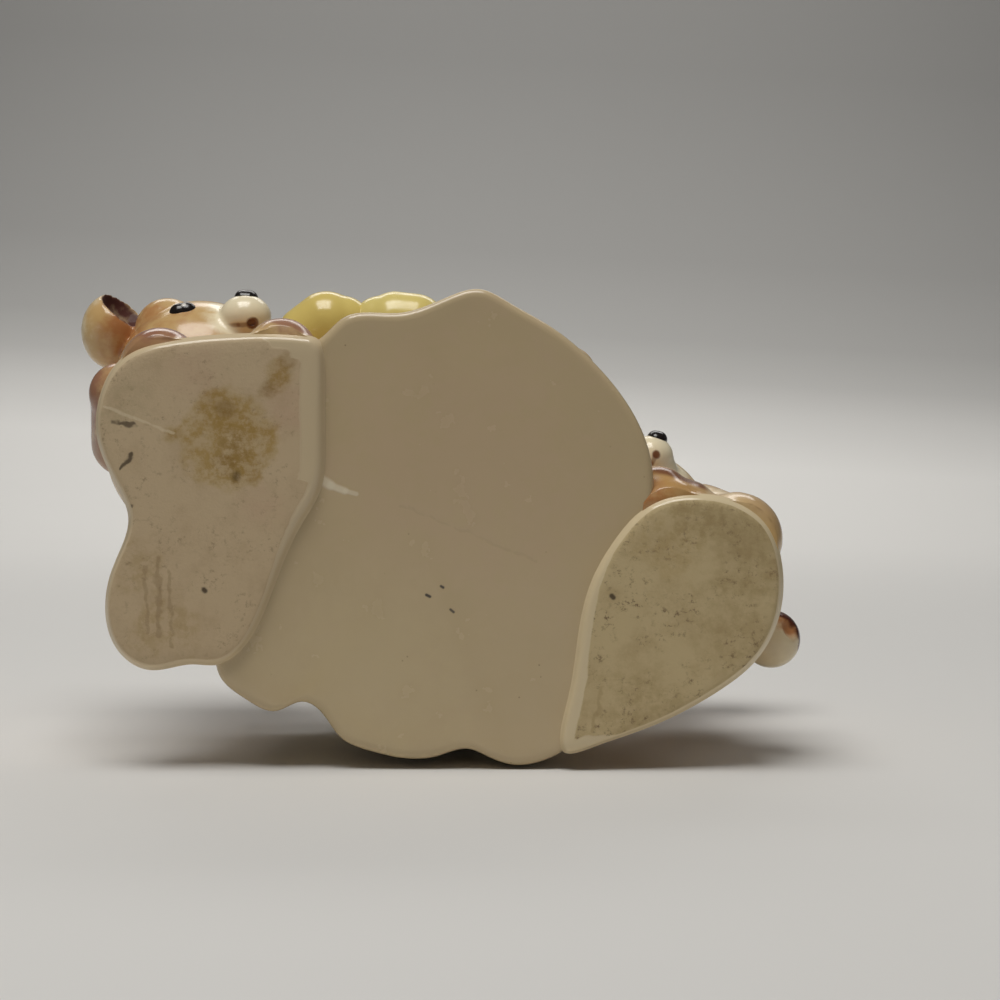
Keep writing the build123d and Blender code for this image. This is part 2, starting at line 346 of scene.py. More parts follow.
class Wiring:
    """Adds nodes to a tree and links them in few words."""

    def __init__(self, tree: bpy.types.NodeTree) -> None:
        """Keeps the tree that the nodes go in."""
        self.tree = tree

    def node(self, kind: str, **settings: object) -> bpy.types.Node:
        """Returns a new node with its properties set.

        Args:
            kind: the node's type.
            settings: its properties by name.

        Returns:
            the node.
        """
        made = self.tree.nodes.new(kind)
        for key, value in settings.items():
            setattr(made, key, value)
        return made

    def put(self, node: bpy.types.Node, name: str | int, value: object) -> None:
        """Links a socket, or sets it, on a node's named input.

        Args:
            node: the node.
            name: the input's name or number.
            value: a socket to link, or a value to set.
        """
        if isinstance(value, bpy.types.NodeSocket):
            self.tree.links.new(value, node.inputs[name])
        else:
            node.inputs[name].default_value = value

    def math(self, task: str, first: object, second: object = 0.0) -> bpy.types.NodeSocket:
        """Returns the result of a Math node on two values.

        Args:
            task: the node's operation.
            first: a socket or a number.
            second: a socket or a number.

        Returns:
            the number that comes out.
        """
        made = self.node("ShaderNodeMath", operation=task)
        self.put(made, 0, first)
        self.put(made, 1, second)
        return made.outputs[0]

    def vector(self, task: str, first: object, second: object) -> bpy.types.NodeSocket:
        """Adds a Vector Math node on two values.

        Args:
            task: the node's operation.
            first: a socket or a value.
            second: a socket or a value; with SCALE, the factor.

        Returns:
            the number or vector that comes out.
        """
        made = self.node("ShaderNodeVectorMath", operation=task)
        self.put(made, 0, first)
        self.put(made, "Scale" if task == "SCALE" else 1, second)
        return made.outputs["Value" if task in ("DISTANCE", "DOT_PRODUCT") else "Vector"]

    def ramp(self, value: object, low: float, high: float) -> bpy.types.NodeSocket:
        """Returns a value eased from 0 at low to 1 at high.

        Args:
            value: the value.
            low: where the result is 0.
            high: where the result is 1.

        Returns:
            the eased value.
        """
        made = self.node("ShaderNodeMapRange", interpolation_type="SMOOTHSTEP")
        self.put(made, "Value", value)
        self.put(made, "From Min", low)
        self.put(made, "From Max", high)
        return made.outputs["Result"]

    def mix(self, share: object, first: object, second: object) -> bpy.types.NodeSocket:
        """Returns two colours mixed by a share.

        Args:
            share: how much of the second colour shows.
            first: a colour.
            second: a colour.

        Returns:
            the mixed colour.
        """
        made = self.node("ShaderNodeMix", data_type="RGBA")
        self.put(made, 0, share)
        self.put(made, 6, first)
        self.put(made, 7, second)
        return made.outputs[2]

    def noise(
        self, place: object, scale: float, detail: float = 3.0, rough: float = 0.5
    ) -> bpy.types.NodeSocket:
        """Returns a noise value at a scale, per metre.

        Args:
            place: where the noise is read.
            scale: its scale.
            detail: how many finer layers it has.
            rough: how strong they are.

        Returns:
            the noise value.
        """
        made = self.node("ShaderNodeTexNoise")
        self.put(made, "Vector", place)
        self.put(made, "Scale", scale)
        self.put(made, "Detail", detail)
        self.put(made, "Roughness", rough)
        return made.outputs["Fac"]

    def bump(
        self, shader: bpy.types.Node, height: object, strength: float, depth: float
    ) -> None:
        """Feeds a height to a shader's normal.

        Args:
            shader: the Principled shader.
            height: the height, 0 to 1.
            strength: the bump's strength.
            depth: how deep a height of 1 is, in metres.
        """
        made = self.node("ShaderNodeBump")
        self.put(made, "Strength", strength)
        self.put(made, "Distance", depth)
        self.put(made, "Height", height)
        self.put(shader, "Normal", made.outputs["Normal"])

    def place(self) -> bpy.types.NodeSocket:
        """Returns the point's place on its own piece, in metres."""
        return self.node("ShaderNodeTexCoord").outputs["Object"]


def new_material(name: str) -> tuple[bpy.types.Material, Wiring, bpy.types.Node]:
    """Starts a material.

    Args:
        name: the material's name.

    Returns:
        the material, its wiring and its Principled shader.
    """
    material = bpy.data.materials.new(name)
    material.use_nodes = True
    tree = material.node_tree
    return material, Wiring(tree), tree.nodes["Principled BSDF"]


def new_group(
    name: str, takes: dict[str, object], gives: dict[str, str]
) -> tuple[bpy.types.NodeTree, Wiring, bpy.types.NodeOutputs, bpy.types.Node]:
    """Starts a shader group.

    Args:
        name: the group's name.
        takes: its inputs by name, each with its value where nothing is linked.
        gives: its outputs by name, each with its kind: Float, Vector or Color.

    Returns:
        the group's tree, its wiring, what comes in and the node that takes what goes out.
    """
    tree = bpy.data.node_groups.new(name, "ShaderNodeTree")
    kinds = {3: "Vector", 4: "Color"}
    for title, value in takes.items():
        kind = kinds[len(value)] if isinstance(value, tuple) else "Float"
        made = tree.interface.new_socket(title, in_out="INPUT", socket_type=f"NodeSocket{kind}")
        made.default_value = value
    for title, kind in gives.items():
        tree.interface.new_socket(title, in_out="OUTPUT", socket_type=f"NodeSocket{kind}")
    w = Wiring(tree)
    return tree, w, w.node("NodeGroupInput").outputs, w.node("NodeGroupOutput")


def spray_group() -> bpy.types.NodeTree:
    """Returns a group that sprays a soft round patch of colour over another colour.

    Returns:
        the group's tree.
    """
    tree, w, given, out = new_group("Airbrushed patch", {
        "Color": (0.8, 0.7, 0.5, 1),
        "Spray": (0.4, 0.2, 0.1, 1),
        "Centre": (0, 0, 0),
        "Radius": 0.01,
        "Softness": 0.005,
        "Strength": 1.0,
        "Mottle": 0.0,
    }, {"Color": "Color"})
    away = w.vector("DISTANCE", w.place(), given["Centre"])
    mist = w.noise(w.place(), scale=420.0, detail=4.0, rough=0.6)
    broad = w.noise(w.place(), scale=150.0, detail=2.0)
    bend = w.math("MULTIPLY", w.math("SUBTRACT", broad, 0.5), 1.8)
    ragged = w.math("ADD", w.math("SUBTRACT", mist, 0.5), bend)
    wander = w.math("MULTIPLY", ragged, given["Softness"])
    reach = w.math("SUBTRACT", given["Radius"], w.math("ADD", away, wander))
    share = w.math("DIVIDE", reach, given["Softness"])
    eased = w.ramp(share, 0.0, 1.0)
    blotch = w.ramp(w.noise(w.place(), scale=330.0, detail=5.0, rough=0.7), 0.40, 0.62)
    hole = w.math("MULTIPLY", w.math("SUBTRACT", 1.0, blotch), given["Mottle"])
    eased = w.math("MULTIPLY", eased, w.math("SUBTRACT", 1.0, hole))
    strength = w.math("MULTIPLY", eased, given["Strength"])
    w.put(out, "Color", w.mix(strength, given["Color"], given["Spray"]))
    return tree


def stroke_group() -> bpy.types.NodeTree:
    """Returns a group whose mask is 1 along a straight stroke between two points.

    Returns:
        the group's tree.
    """
    tree, w, given, out = new_group("Straight stroke", {
        "Start": (0, 0, 0),
        "End": (0.01, 0, 0),
        "Width": 0.001,
        "Wander": 0.0,
    }, {"Mask": "Float"})
    drift = w.node("ShaderNodeTexNoise")
    w.put(drift, "Vector", w.place())
    w.put(drift, "Scale", 300.0)
    centred = w.vector("SUBTRACT", drift.outputs["Color"], (0.5, 0.5, 0.5))
    moved = w.vector("ADD", w.place(), w.vector("SCALE", centred, given["Wander"]))
    from_start = w.vector("SUBTRACT", moved, given["Start"])
    line = w.vector("SUBTRACT", given["End"], given["Start"])
    across = w.vector("DOT_PRODUCT", from_start, line)
    share = w.node("ShaderNodeClamp")
    w.put(share, "Value", w.math("DIVIDE", across, w.vector("DOT_PRODUCT", line, line)))
    foot = w.vector("SCALE", line, share.outputs[0])
    away = w.vector("DISTANCE", from_start, foot)
    near = w.math("DIVIDE", away, given["Width"])
    w.put(out, "Mask", w.math("SUBTRACT", 1.0, w.ramp(near, 0.35, 1.0)))
    return tree


def glaze_group() -> bpy.types.NodeTree:
    """Returns a group for pooled glaze: its colour drifts, and its surface ripples a little.

    Returns:
        the group's tree.
    """
    tree, w, given, out = new_group("Pooled glaze", {
        "Color": (0.8, 0.7, 0.5, 1),
        "Pooled": (0.7, 0.6, 0.4, 1),
        "Drift": 0.4,
    }, {"Color": "Color", "Roughness": "Float", "Height": "Float"})
    place = w.place()
    broad = w.ramp(w.noise(place, scale=26.0, detail=3.0, rough=0.5), 0.35, 0.68)
    cloud = w.ramp(w.noise(place, scale=120.0, detail=4.0, rough=0.6), 0.35, 0.75)
    pooled = w.math("ADD", broad, w.math("MULTIPLY", cloud, 0.4))
    drift = w.math("MULTIPLY", pooled, given["Drift"])
    washed = w.mix(drift, given["Color"], given["Pooled"])
    pins = w.node("ShaderNodeTexVoronoi")
    w.put(pins, "Vector", place)
    w.put(pins, "Scale", 330.0)
    fleck = w.math("SUBTRACT", 1.0, w.ramp(pins.outputs["Distance"], 0.03, 0.10))
    rare = w.ramp(w.noise(place, scale=190.0, detail=1.0), 0.60, 0.68)
    speck = w.math("MULTIPLY", w.math("MULTIPLY", fleck, rare), 0.55)
    w.put(out, "Color", w.mix(speck, washed, (0.16, 0.09, 0.045, 1)))
    w.put(out, "Roughness", w.math("ADD", 0.17, w.math("MULTIPLY", cloud, 0.12)))
    swell = w.noise(place, scale=70.0, detail=2.0, rough=0.4)
    grit = w.math("MULTIPLY", w.noise(place, scale=900.0), 0.03)
    w.put(out, "Height", w.math("ADD", swell, grit))
    return tree


def bisque_group() -> bpy.types.NodeTree:
    """Returns a group for dry bisque: stained, speckled and faintly gritty.

    Returns:
        the group's tree.
    """
    tree, w, given, out = new_group("Dry bisque", {
        "Color": (0.7, 0.6, 0.4, 1),
        "Stain": (0.4, 0.28, 0.15, 1),
        "Speckle": 0.5,
    }, {"Color": "Color", "Height": "Float"})
    place = w.place()
    blotch = w.ramp(w.noise(place, scale=90.0, detail=6.0, rough=0.7), 0.44, 0.72)
    stained = w.mix(w.math("MULTIPLY", blotch, 0.5), given["Color"], given["Stain"])
    grain = w.ramp(w.noise(place, scale=560.0, detail=5.0, rough=0.8), 0.52, 0.66)
    zone = w.ramp(w.noise(place, scale=110.0, detail=3.0, rough=0.6), 0.40, 0.62)
    speck = w.math("MULTIPLY", w.math("MULTIPLY", grain, zone), given["Speckle"])
    w.put(out, "Color", w.mix(speck, stained, (0.17, 0.10, 0.05, 1)))
    w.put(out, "Height", w.noise(place, scale=1300.0, detail=4.0, rough=0.7))
    return tree


GROUPS = {
    "spray": spray_group(),
    "stroke": stroke_group(),
    "glaze": glaze_group(),
    "bisque": bisque_group(),
}


@dataclass(frozen=True)
class Patch:
    """A soft patch of sprayed colour on a piece, placed in millimetres."""

    centre: Point
    radius: float
    softness: float
    colour: Colour
    strength: float = 1.0
    mottle: float = 0.0


def spray(
    at: Vector, radius: float, softness: float, colour: Colour, strength: float = 1.0
) -> Patch:
    """Returns a sprayed patch round a place given in metres."""
    return Patch(millimetres(at), radius, softness, colour, strength)


@dataclass(frozen=True)
class Stroke:
    """A straight mark between two points in millimetres."""

    start: Point
    end: Point
    width: float
    colour: Colour
    strength: float = 1.0
    wander: float = 0.4
    raise_by: float = 0.0


@dataclass(frozen=True)
class Glaze:
    """A glossy fired glaze: its colours, its sprayed patches and its marks."""

    name: str
    colour: Colour
    pooled: Colour
    drift: float = 0.4
    patches: tuple[Patch, ...] = ()
    strokes: tuple[Stroke, ...] = ()
    matt: tuple[Patch, ...] = ()
    ripple: float = 0.12

    def make(self) -> bpy.types.Material:
        """Returns the material.

        Returns:
            the material.
        """
        material, w, shader = new_material(self.name)
        body = w.node("ShaderNodeGroup", node_tree=GROUPS["glaze"])
        w.put(body, "Color", (*self.colour, 1))
        w.put(body, "Pooled", (*self.pooled, 1))
        w.put(body, "Drift", self.drift)
        colour = add_patches(w, body.outputs["Color"], self.patches)
        colour, height = add_strokes(w, colour, body.outputs["Height"], self.strokes)
        w.put(shader, "Base Color", colour)
        rough = body.outputs["Roughness"]
        if self.matt:
            blank = w.node("ShaderNodeRGB")
            blank.outputs[0].default_value = (0, 0, 0, 1)
            rough = w.math("ADD", rough, add_patches(w, blank.outputs[0], self.matt))
        w.put(shader, "Roughness", rough)
        for name, value in (("IOR", 1.5), ("Coat Weight", 0.12), ("Coat Roughness", 0.05)):
            w.put(shader, name, value)
        w.bump(shader, height, self.ripple, MM)
        return material


def add_patches(
    w: Wiring, colour: bpy.types.NodeSocket, patches: tuple[Patch, ...]
) -> bpy.types.NodeSocket:
    """Returns a colour with sprayed patches laid over it in order.

    Args:
        w: the material's wiring.
        colour: the colour underneath.
        patches: what is sprayed, in order.

    Returns:
        the colour with the patches on it.
    """
    for patch in patches:
        made = w.node("ShaderNodeGroup", node_tree=GROUPS["spray"])
        w.put(made, "Color", colour)
        w.put(made, "Spray", (*patch.colour, 1))
        w.put(made, "Centre", tuple(c * MM for c in patch.centre))
        w.put(made, "Radius", patch.radius * MM)
        w.put(made, "Softness", patch.softness * MM)
        w.put(made, "Strength", patch.strength)
        w.put(made, "Mottle", patch.mottle)
        colour = made.outputs["Color"]
    return colour


def add_strokes(
    w: Wiring,
    colour: bpy.types.NodeSocket,
    height: bpy.types.NodeSocket,
    strokes: tuple[Stroke, ...],
) -> tuple[bpy.types.NodeSocket, bpy.types.NodeSocket]:
    """Returns a colour and a height with straight marks laid over them in order.

    Args:
        w: the material's wiring.
        colour: the colour underneath.
        height: the height underneath.
        strokes: the marks, in order.

    Returns:
        the colour and the height with the marks on them.
    """
    for stroke in strokes:
        made = w.node("ShaderNodeGroup", node_tree=GROUPS["stroke"])
        w.put(made, "Start", tuple(c * MM for c in stroke.start))
        w.put(made, "End", tuple(c * MM for c in stroke.end))
        w.put(made, "Width", stroke.width * MM)
        w.put(made, "Wander", stroke.wander * MM)
        mask = made.outputs["Mask"]
        if stroke.strength:
            share = w.math("MULTIPLY", mask, stroke.strength)
            colour = w.mix(share, colour, (*stroke.colour, 1))
        if stroke.raise_by:
            height = w.math("ADD", height, w.math("MULTIPLY", mask, stroke.raise_by))
    return colour, height


@dataclass(frozen=True)
class DryPad:
    """An unglazed foot pad inside a glazed border, with the marks of long use and the painted shade
    of its vent hole.
    """

    name: str
    clay: Colour
    stain: Colour
    border: Colour
    speckle: float
    patches: tuple[Patch, ...] = ()
    strokes: tuple[Stroke, ...] = ()

    def make(self) -> bpy.types.Material:
        """Returns the material; the piece's border attribute says where glaze starts.

        Returns:
            the material.
        """
        material, w, shader = new_material(self.name)
        body = w.node("ShaderNodeGroup", node_tree=GROUPS["bisque"])
        w.put(body, "Color", (*self.clay, 1))
        w.put(body, "Stain", (*self.stain, 1))
        w.put(body, "Speckle", self.speckle)
        colour = add_patches(w, body.outputs["Color"], self.patches)
        colour, height = add_strokes(w, colour, body.outputs["Height"], self.strokes)
        inside = w.node("ShaderNodeAttribute", attribute_name="dry").outputs["Fac"]
        ragged = w.math("ADD", inside, w.math("MULTIPLY", w.noise(w.place(), scale=380.0), 0.3))
        dry = w.ramp(ragged, 0.55, 0.80)
        w.put(shader, "Base Color", w.mix(dry, (*self.border, 1), colour))
        w.put(shader, "Roughness", w.math("ADD", 0.16, w.math("MULTIPLY", dry, 0.62)))
        w.bump(shader, w.math("MULTIPLY", height, dry), 0.25, 0.0006)
        return material


# Colours, as linear values

CREAM = (0.60, 0.47, 0.285)
CREAM_POOL = (0.55, 0.43, 0.245)
FUR = (0.60, 0.38, 0.15)
PALE = (0.84, 0.71, 0.47)
PINK = (0.31, 0.135, 0.085)
CREAM_WHITE = (0.93, 0.82, 0.58)
ORANGE = (0.46, 0.19, 0.065)
BROWN = (0.20, 0.075, 0.03)
MAROON = (0.075, 0.014, 0.006)
YELLOW = (0.80, 0.64, 0.20)
DEEP_YELLOW = (0.70, 0.53, 0.15)
PALE_YELLOW = (0.76, 0.63, 0.22)
BLACK = (0.008, 0.007, 0.006)
CLAY = (0.60, 0.46, 0.285)
BLACK_POOL = (0.02, 0.012, 0.01)
GLINT = (0.75, 0.72, 0.66)
HEAD_POOL = (0.70, 0.50, 0.25)
MATT = (0.6, 0.6, 0.6)
# Dark marks on the pads, and painted shade for their vent holes.
DARK_MARKS_AND_VENT_SHADE = (0.065, 0.04, 0.02)
OCHRE = (0.37, 0.225, 0.05)
UMBER = (0.30, 0.18, 0.05)
ROSY = (0.56, 0.38, 0.25)
RUN_BROWN = (0.28, 0.18, 0.08)
DRAB = (0.40, 0.29, 0.13)

# How rough the paper of the table and floor is, and how finely small balls are divided

PAPER_ROUGHNESS = 0.9
SMALL = 4


# The planter's places, in millimetres, from the same values as the CAD source

PAD_HEIGHT = 2.2
POT_X = 6.0
POT_Y = 3.3
POT_LENGTH = 102.0
POT_DEPTH = 110.2
TORSO_RADIUS = 22.5
TORSO_HEIGHT = 76.0


@dataclass
class Pot:
    """The open planting pot with its scalloped back, rolled edges and recessed underside."""

    height: float = 74.0
    wall: float = 4.4
    floor: float = 5.0
    lean: Flat = (-8.0, 5.4)
    facets: int = 288
    core_facets: int = 144
    core_heights: tuple[float, ...] = (0.5, 20.0, 40.0, 60.0, 76.2)
    core_lid: float = 0.012
    taper: tuple[Flat, ...] = (
        (0.0, 1.0), (0.18, 0.99), (0.35, 0.97), (0.52, 0.935), (0.70, 0.89), (0.85, 0.86),
        (1.0, 0.84),
    )
    underside_inset: float = 4.0
    underside: tuple[Flat, ...] = ((0.04, 0.55), (0.3, 0.5), (0.6, 0.42), (0.85, 0.28))
    foot_edge: tuple[Flat, ...] = (
        (4.0, 0.14), (2.4, 0.0), (1.5, 0.05), (0.8, 0.32), (0.3, 0.85), (0.0, 1.7),
    )
    outer_levels: tuple[float, float, int] = (0.05, 0.955, 22)
    rim_edge: tuple[Flat, ...] = (
        (0.0, 1.9), (0.35, 0.8), (1.0, 0.2), (2.0, 0.0), (3.0, 0.15), (3.9, 0.7), (4.4, 1.9),
    )
    inner_levels: tuple[float, float, int] = (0.95, 0.12, 18)
    floor_edge: tuple[Flat, ...] = ((4.5, 4.0), (5.4, 2.0), (7.2, 0.6), (9.5, 0.1))
    floor_disc: tuple[float, ...] = (0.7, 0.35, 0.05)
    outline: list[Flat] = field(default_factory=lambda: [
        (0.14, 0.93), (0.01, 0.96), (-0.15, 0.97), (-0.30, 0.94), (-0.44, 0.88),
        (-0.53, 0.77), (-0.61, 0.73), (-0.73, 0.77), (-0.87, 0.72), (-0.99, 0.62),
        (-1.00, 0.45), (-0.90, 0.16), (-0.82, -0.10), (-0.76, -0.39), (-0.73, -0.71),
        (-0.53, -0.80), (-0.42, -0.89), (-0.17, -0.91), (0.06, -0.98), (0.20, -1.01),
        (0.34, -0.95), (0.51, -0.86), (0.72, -0.70), (0.87, -0.53), (0.96, -0.36),
        (0.99, -0.17), (0.94, 0.03), (0.76, 0.27), (0.72, 0.48), (0.67, 0.72),
        (0.59, 0.93), (0.49, 0.98), (0.38, 1.00), (0.25, 0.97),
    ])

    def width_share(self, level: float) -> float:
        """Returns how wide the pot is at a level, as a share of its width at the base."""
        levels, shares = zip(*self.taper)
        return float(np.interp(level, levels, shares))

    def ring(self, loop: np.ndarray, height: float, inset: float) -> np.ndarray:
        """Returns the outline at a height, drawn in towards the middle.

        Args:
            loop: the outline in shares.
            height: the height above the pads' undersides, in millimetres.
            inset: how far it is drawn in, in millimetres.

        Returns:
            the ring's points, in metres.
        """
        level = min(max((height - PAD_HEIGHT) / self.height, 0.0), 1.0)
        share = self.width_share(level)
        middle = np.array([POT_X + self.lean[0] * level, POT_Y + self.lean[1] * level])
        half = np.array([POT_LENGTH / 2, POT_DEPTH / 2]) * share
        spots = loop * half
        reach = np.linalg.norm(spots, axis=1, keepdims=True)
        spots = spots * (1 - inset / reach) + middle
        return level_ring(spots, height)

    def core(self) -> bpy.types.Object:
        """Returns the space inside the pot's wall, which the cubs are kept out of.

        Returns:
            the space as a closed form.
        """
        loop = smooth_loop(self.outline, self.core_facets)
        inset = self.wall / 2
        rings = [self.ring(loop, height, inset) for height in self.core_heights]
        lid = rings[-1].copy()
        lid[:, 2] += self.core_lid
        return ring_form("pot_core", [*rings, lid])

    def disc(self, loop: np.ndarray, share: float, height: float, inset: float) -> np.ndarray:
        """Returns a ring of the underside or the floor, shrunk towards the middle.

        Args:
            loop: the outline in shares.
            share: how far the ring is shrunk.
            height: its height, in millimetres.
            inset: how far it is drawn in first, in millimetres.

        Returns:
            the ring's points, in metres.
        """
        ring = self.ring(loop, height, inset)
        middle = ring.mean(axis=0)
        return middle + (ring - middle) * np.array([share, share, 1.0])

    def build(self) -> bpy.types.Object:
        """Returns the pot's mesh, drawn up from the underside, over the rim and down inside.

        Returns:
            the pot.
        """
        loop = smooth_loop(self.outline, self.facets)
        base = PAD_HEIGHT
        top = PAD_HEIGHT + self.height
        inner = base + self.floor
        rings = [self.disc(loop, share, base + dip, self.underside_inset)
                 for share, dip in self.underside]
        for inset, rise in self.foot_edge:
            rings.append(self.ring(loop, base + rise, inset))
        for level in np.linspace(*self.outer_levels):
            rings.append(self.ring(loop, base + self.height * float(level), 0.0))
        for inset, drop in self.rim_edge:
            rings.append(self.ring(loop, top - drop, inset))
        for level in np.linspace(*self.inner_levels):
            rings.append(self.ring(loop, inner + (top - inner) * float(level), self.wall))
        for inset, rise in self.floor_edge:
            rings.append(self.ring(loop, inner + rise, inset))
        for share in self.floor_disc:
            rings.append(self.disc(loop, share, inner, self.floor_edge[-1][0]))
        thing = ring_form("pot_glazed", rings)
        shade(thing)
        return thing

    def finish(self) -> Glaze:
        """Returns the pot's glaze, with the underside's crease and a painted highlight on its ridge,
        its pits, a pinker patch and a painted lighter patch of light bounced up from the table.

        Returns:
            the glaze.
        """
        low = PAD_HEIGHT + 0.4
        ridge_highlight = (0.84, 0.74, 0.55)
        line = (0.36, 0.27, 0.17)
        pit = (0.06, 0.05, 0.05)
        return Glaze(
            "Cream pot glaze", CREAM, CREAM_POOL, 0.35,
            patches=(
                # A slightly pinker, slightly darker patch towards the front.
                Patch((12, -12, low), 42, 36, (0.61, 0.455, 0.30), 0.5),
                # Painted light: a lighter patch towards the back edge, where light bounces up from
                # the table.
                Patch((-10, 36, low), 32, 26, (0.62, 0.50, 0.29), 0.5),
            ),
            strokes=(
                # The ridge is a low bump in the underside with a painted highlight along it.
                Stroke((-22.6, -9.4, low), (-18.6, -6.8, low), 1.5, ridge_highlight, 0.8, 0.4, 1.0),
                Stroke((-18.6, -6.8, low), (-15.2, -5.5, low), 1.1, ridge_highlight, 0.75, 0.4, 0.8),
                Stroke((-15.2, -5.5, low), (-12.6, -4.8, low), 0.7, ridge_highlight, 0.6, 0.4, 0.5),
                Stroke((-2.5, -2.2, low), (29.0, 10.8, low), 0.6, line, 0.14, 2.4, -0.4),
                Stroke((3.6, 18.6, low), (4.4, 19.0, low), 0.5, pit, 0.9, 0.3, -0.8),
                Stroke((7.0, 16.6, low), (7.5, 16.9, low), 0.5, pit, 0.9, 0.3, -0.8),
                Stroke((9.2, 22.0, low), (9.9, 22.6, low), 0.45, pit, 0.85, 0.3, -0.8),
            ),
        )


@dataclass
class Cub:
    """One bear cub: its body, head, face and foot pad."""

    side: Side
    way: int
    stand: Flat
    neck: Flat
    head: Point
    gaze: float
    muzzle_turn: float
    nose_turn: float
    rump: Flat
    outer_leg: Flat
    inner_leg: Flat
    outer_shoulder: Point
    outer_paw: Point
    inner_shoulder: Point
    inner_paw: Point
    pad_outline: list[Flat]
    pad_size: Flat
    pad_middle: Flat
    mouth_offset: Point
    mouth_radius: float
    muzzle_shift: Point
    muzzle_radii: Point
    nose_spread: float
    nose_reach: float
    pinks: Point
    leg_trim: float = 0.0
    tints: tuple[Patch, ...] = ()
    lines: tuple[Stroke, ...] = ()
    swells: tuple[tuple[Point, Point], ...] = ()
    head_radius: float = 23.0
    tail: Point | None = None
    torso_rise: float = 12.0
    torso_girth: float = 22.5
    neck_rise: float = 61.0
    neck_girth: float = 15.4
    rump_rise: Flat = (6.0, 22.0)
    rump_girth: Flat = (13.7, 9.8)
    leg_length: float = 14.0
    leg_turns: Flat = (24.0, 10.0)
    outer_leg_girth: Flat = (12.7, 11.0)
    inner_leg_girth: Flat = (10.7, 8.9)
    arm_girth: Flat = (8.7, 7.3)
    paw_radii: Point = (7.8, 7.8, 8.2)
    tail_radii: Point = (7.1, 7.1, 7.2)
    tail_root: Point = (-6.5, -2.5, 0.5)
    tail_girth: Flat = (6.0, 6.6)
    tail_grain: float = 0.5
    tail_rubs: int = 6
    curl_offset: Point = (4.6, -3.8, -5.6)
    curl_radii: Point = (2.6, 3.4, 2.2)
    curl_grain: float = 0.45
    curl_rubs: int = 8
    tail_rim: tuple[Point, ...] = (
        (2.8, -6.0, -2.0), (5.2, -4.4, -2.0), (6.6, -1.8, -2.0), (7.0, 1.2, -1.5),
    )
    body_grain: float = 0.85
    body_rubs: int = 26
    sole_dip: float = 0.25
    head_radii: Point = (22.9, 22.9, 22.7)
    face_grain: float = 0.55
    face_rubs: int = 9
    muzzle_dip: float = -24.0
    muzzle_reach: float = 0.84
    muzzle_length: float = 4.6
    muzzle_stem: Flat = (9.5, 3.0)
    muzzle_girth: Flat = (8.0, 6.6)
    bridge_back: float = 4.5
    bridge_radii: Point = (7.6, 6.4, 7.2)
    mouth_shape: Point = (1.0, 0.8, 1.0)
    mouth_drop: float = 0.9
    temple_turn: float = 59.5
    temple_rise: float = 2.0
    temple_reach: float = 17.2
    temple_radii: Point = (9.0, 9.0, 9.0)
    cheek_turn: float = 44.0
    cheek_dip: float = -42.0
    cheek_reach: float = 14.0
    cheek_radii: Point = (8.4, 8.4, 7.4)
    ear_turn: float = 87.0
    ear_rise: float = 16.0
    ear_reach: float = 1.32
    ear_radii: Point = (8.8, 10.5, 9.5)
    cup_turn: float = -6.0
    cup_dip: float = -13.0
    cup_reach: float = 10.0
    cup_radius: float = 7.9
    cup_spray: Flat = (8.6, 0.9)
    eye_turn: float = 38.0
    eye_dip: float = -26.0
    eye_reach: float = 21.5
    eye_radii: Point = (2.9, 2.8, 2.8)
    eye_spread: float = 0.9
    eye_grain: float = 0.3
    eye_rubs: int = 5
    nose_rise: float = 14.0
    nose_radii: Point = (2.3, 2.3, 3.7)
    nose_grain: float = 0.28
    nose_rubs: int = 8
    foot_points: int = 120
    pad_points: int = 240
    pad_crease: float = 70.0
    foot_profile: tuple[Flat, ...] = (
        (0.999, -1.0), (1.0, 2.0), (1.0, 4.5), (0.965, 8.0), (0.90, 11.0), (0.78, 13.5),
        (0.5, 15.0),
    )
    pad_wall: tuple[Flat, ...] = ((0.3, 2.7), (-0.5, 2.5), (-0.2, 2.1))
    pad_bevel: tuple[Flat, ...] = ((0.15, 1.3), (0.6, 0.6), (1.2, 0.18), (2.0, 0.0))
    pad_steps: tuple[float, ...] = (0.93, 0.87, 0.80, 0.70, 0.5, 0.25, 0.03)
    border_softness: float = 1.6
    border_height: float = 0.6

    def spot(self, share: Flat, rise: float) -> Vector:
        """Returns a point over a share of the stand, at a rise above the pad, in metres.

        Args:
            share: the place over the stand, in torso radii.
            rise: the height above the pad, in millimetres.

        Returns:
            the point.
        """
        return metres(
            self.stand[0] + TORSO_RADIUS * share[0],
            self.stand[1] + TORSO_RADIUS * share[1],
            PAD_HEIGHT + rise,
        )

    def place(self, share: Point) -> Vector:
        """Returns the point that a three-number share names."""
        return self.spot(share[:2], TORSO_HEIGHT * share[2])

    def facing(self, turn: float = 0.0, rise: float = 0.0) -> Vector:
        """Returns the unit vector of the gaze, turned and raised by degrees.

        Args:
            turn: how far it is turned.
            rise: how far it is raised.

        Returns:
            the unit vector.
        """
        angle = math.radians(self.gaze + turn)
        lift = math.radians(rise)
        return Vector((
            math.cos(angle) * math.cos(lift), math.sin(angle) * math.cos(lift), math.sin(lift)
        ))

    def head_middle(self) -> Vector:
        """Returns the middle of the head, in metres."""
        return self.spot(self.head[:2], TORSO_HEIGHT + self.head_radius * self.head[2])

    def pad_loop(self, count: int) -> np.ndarray:
        """Returns the pad's outline in millimetres, in steps.

        Args:
            count: how many points to return.

        Returns:
            the outline's points.
        """
        centre = np.array([
            self.stand[0] + self.pad_size[0] * self.pad_middle[0],
            self.stand[1] + self.pad_size[1] * self.pad_middle[1],
        ])
        half = np.array(self.pad_size) / 2
        return smooth_loop(self.pad_outline, count) * half + centre

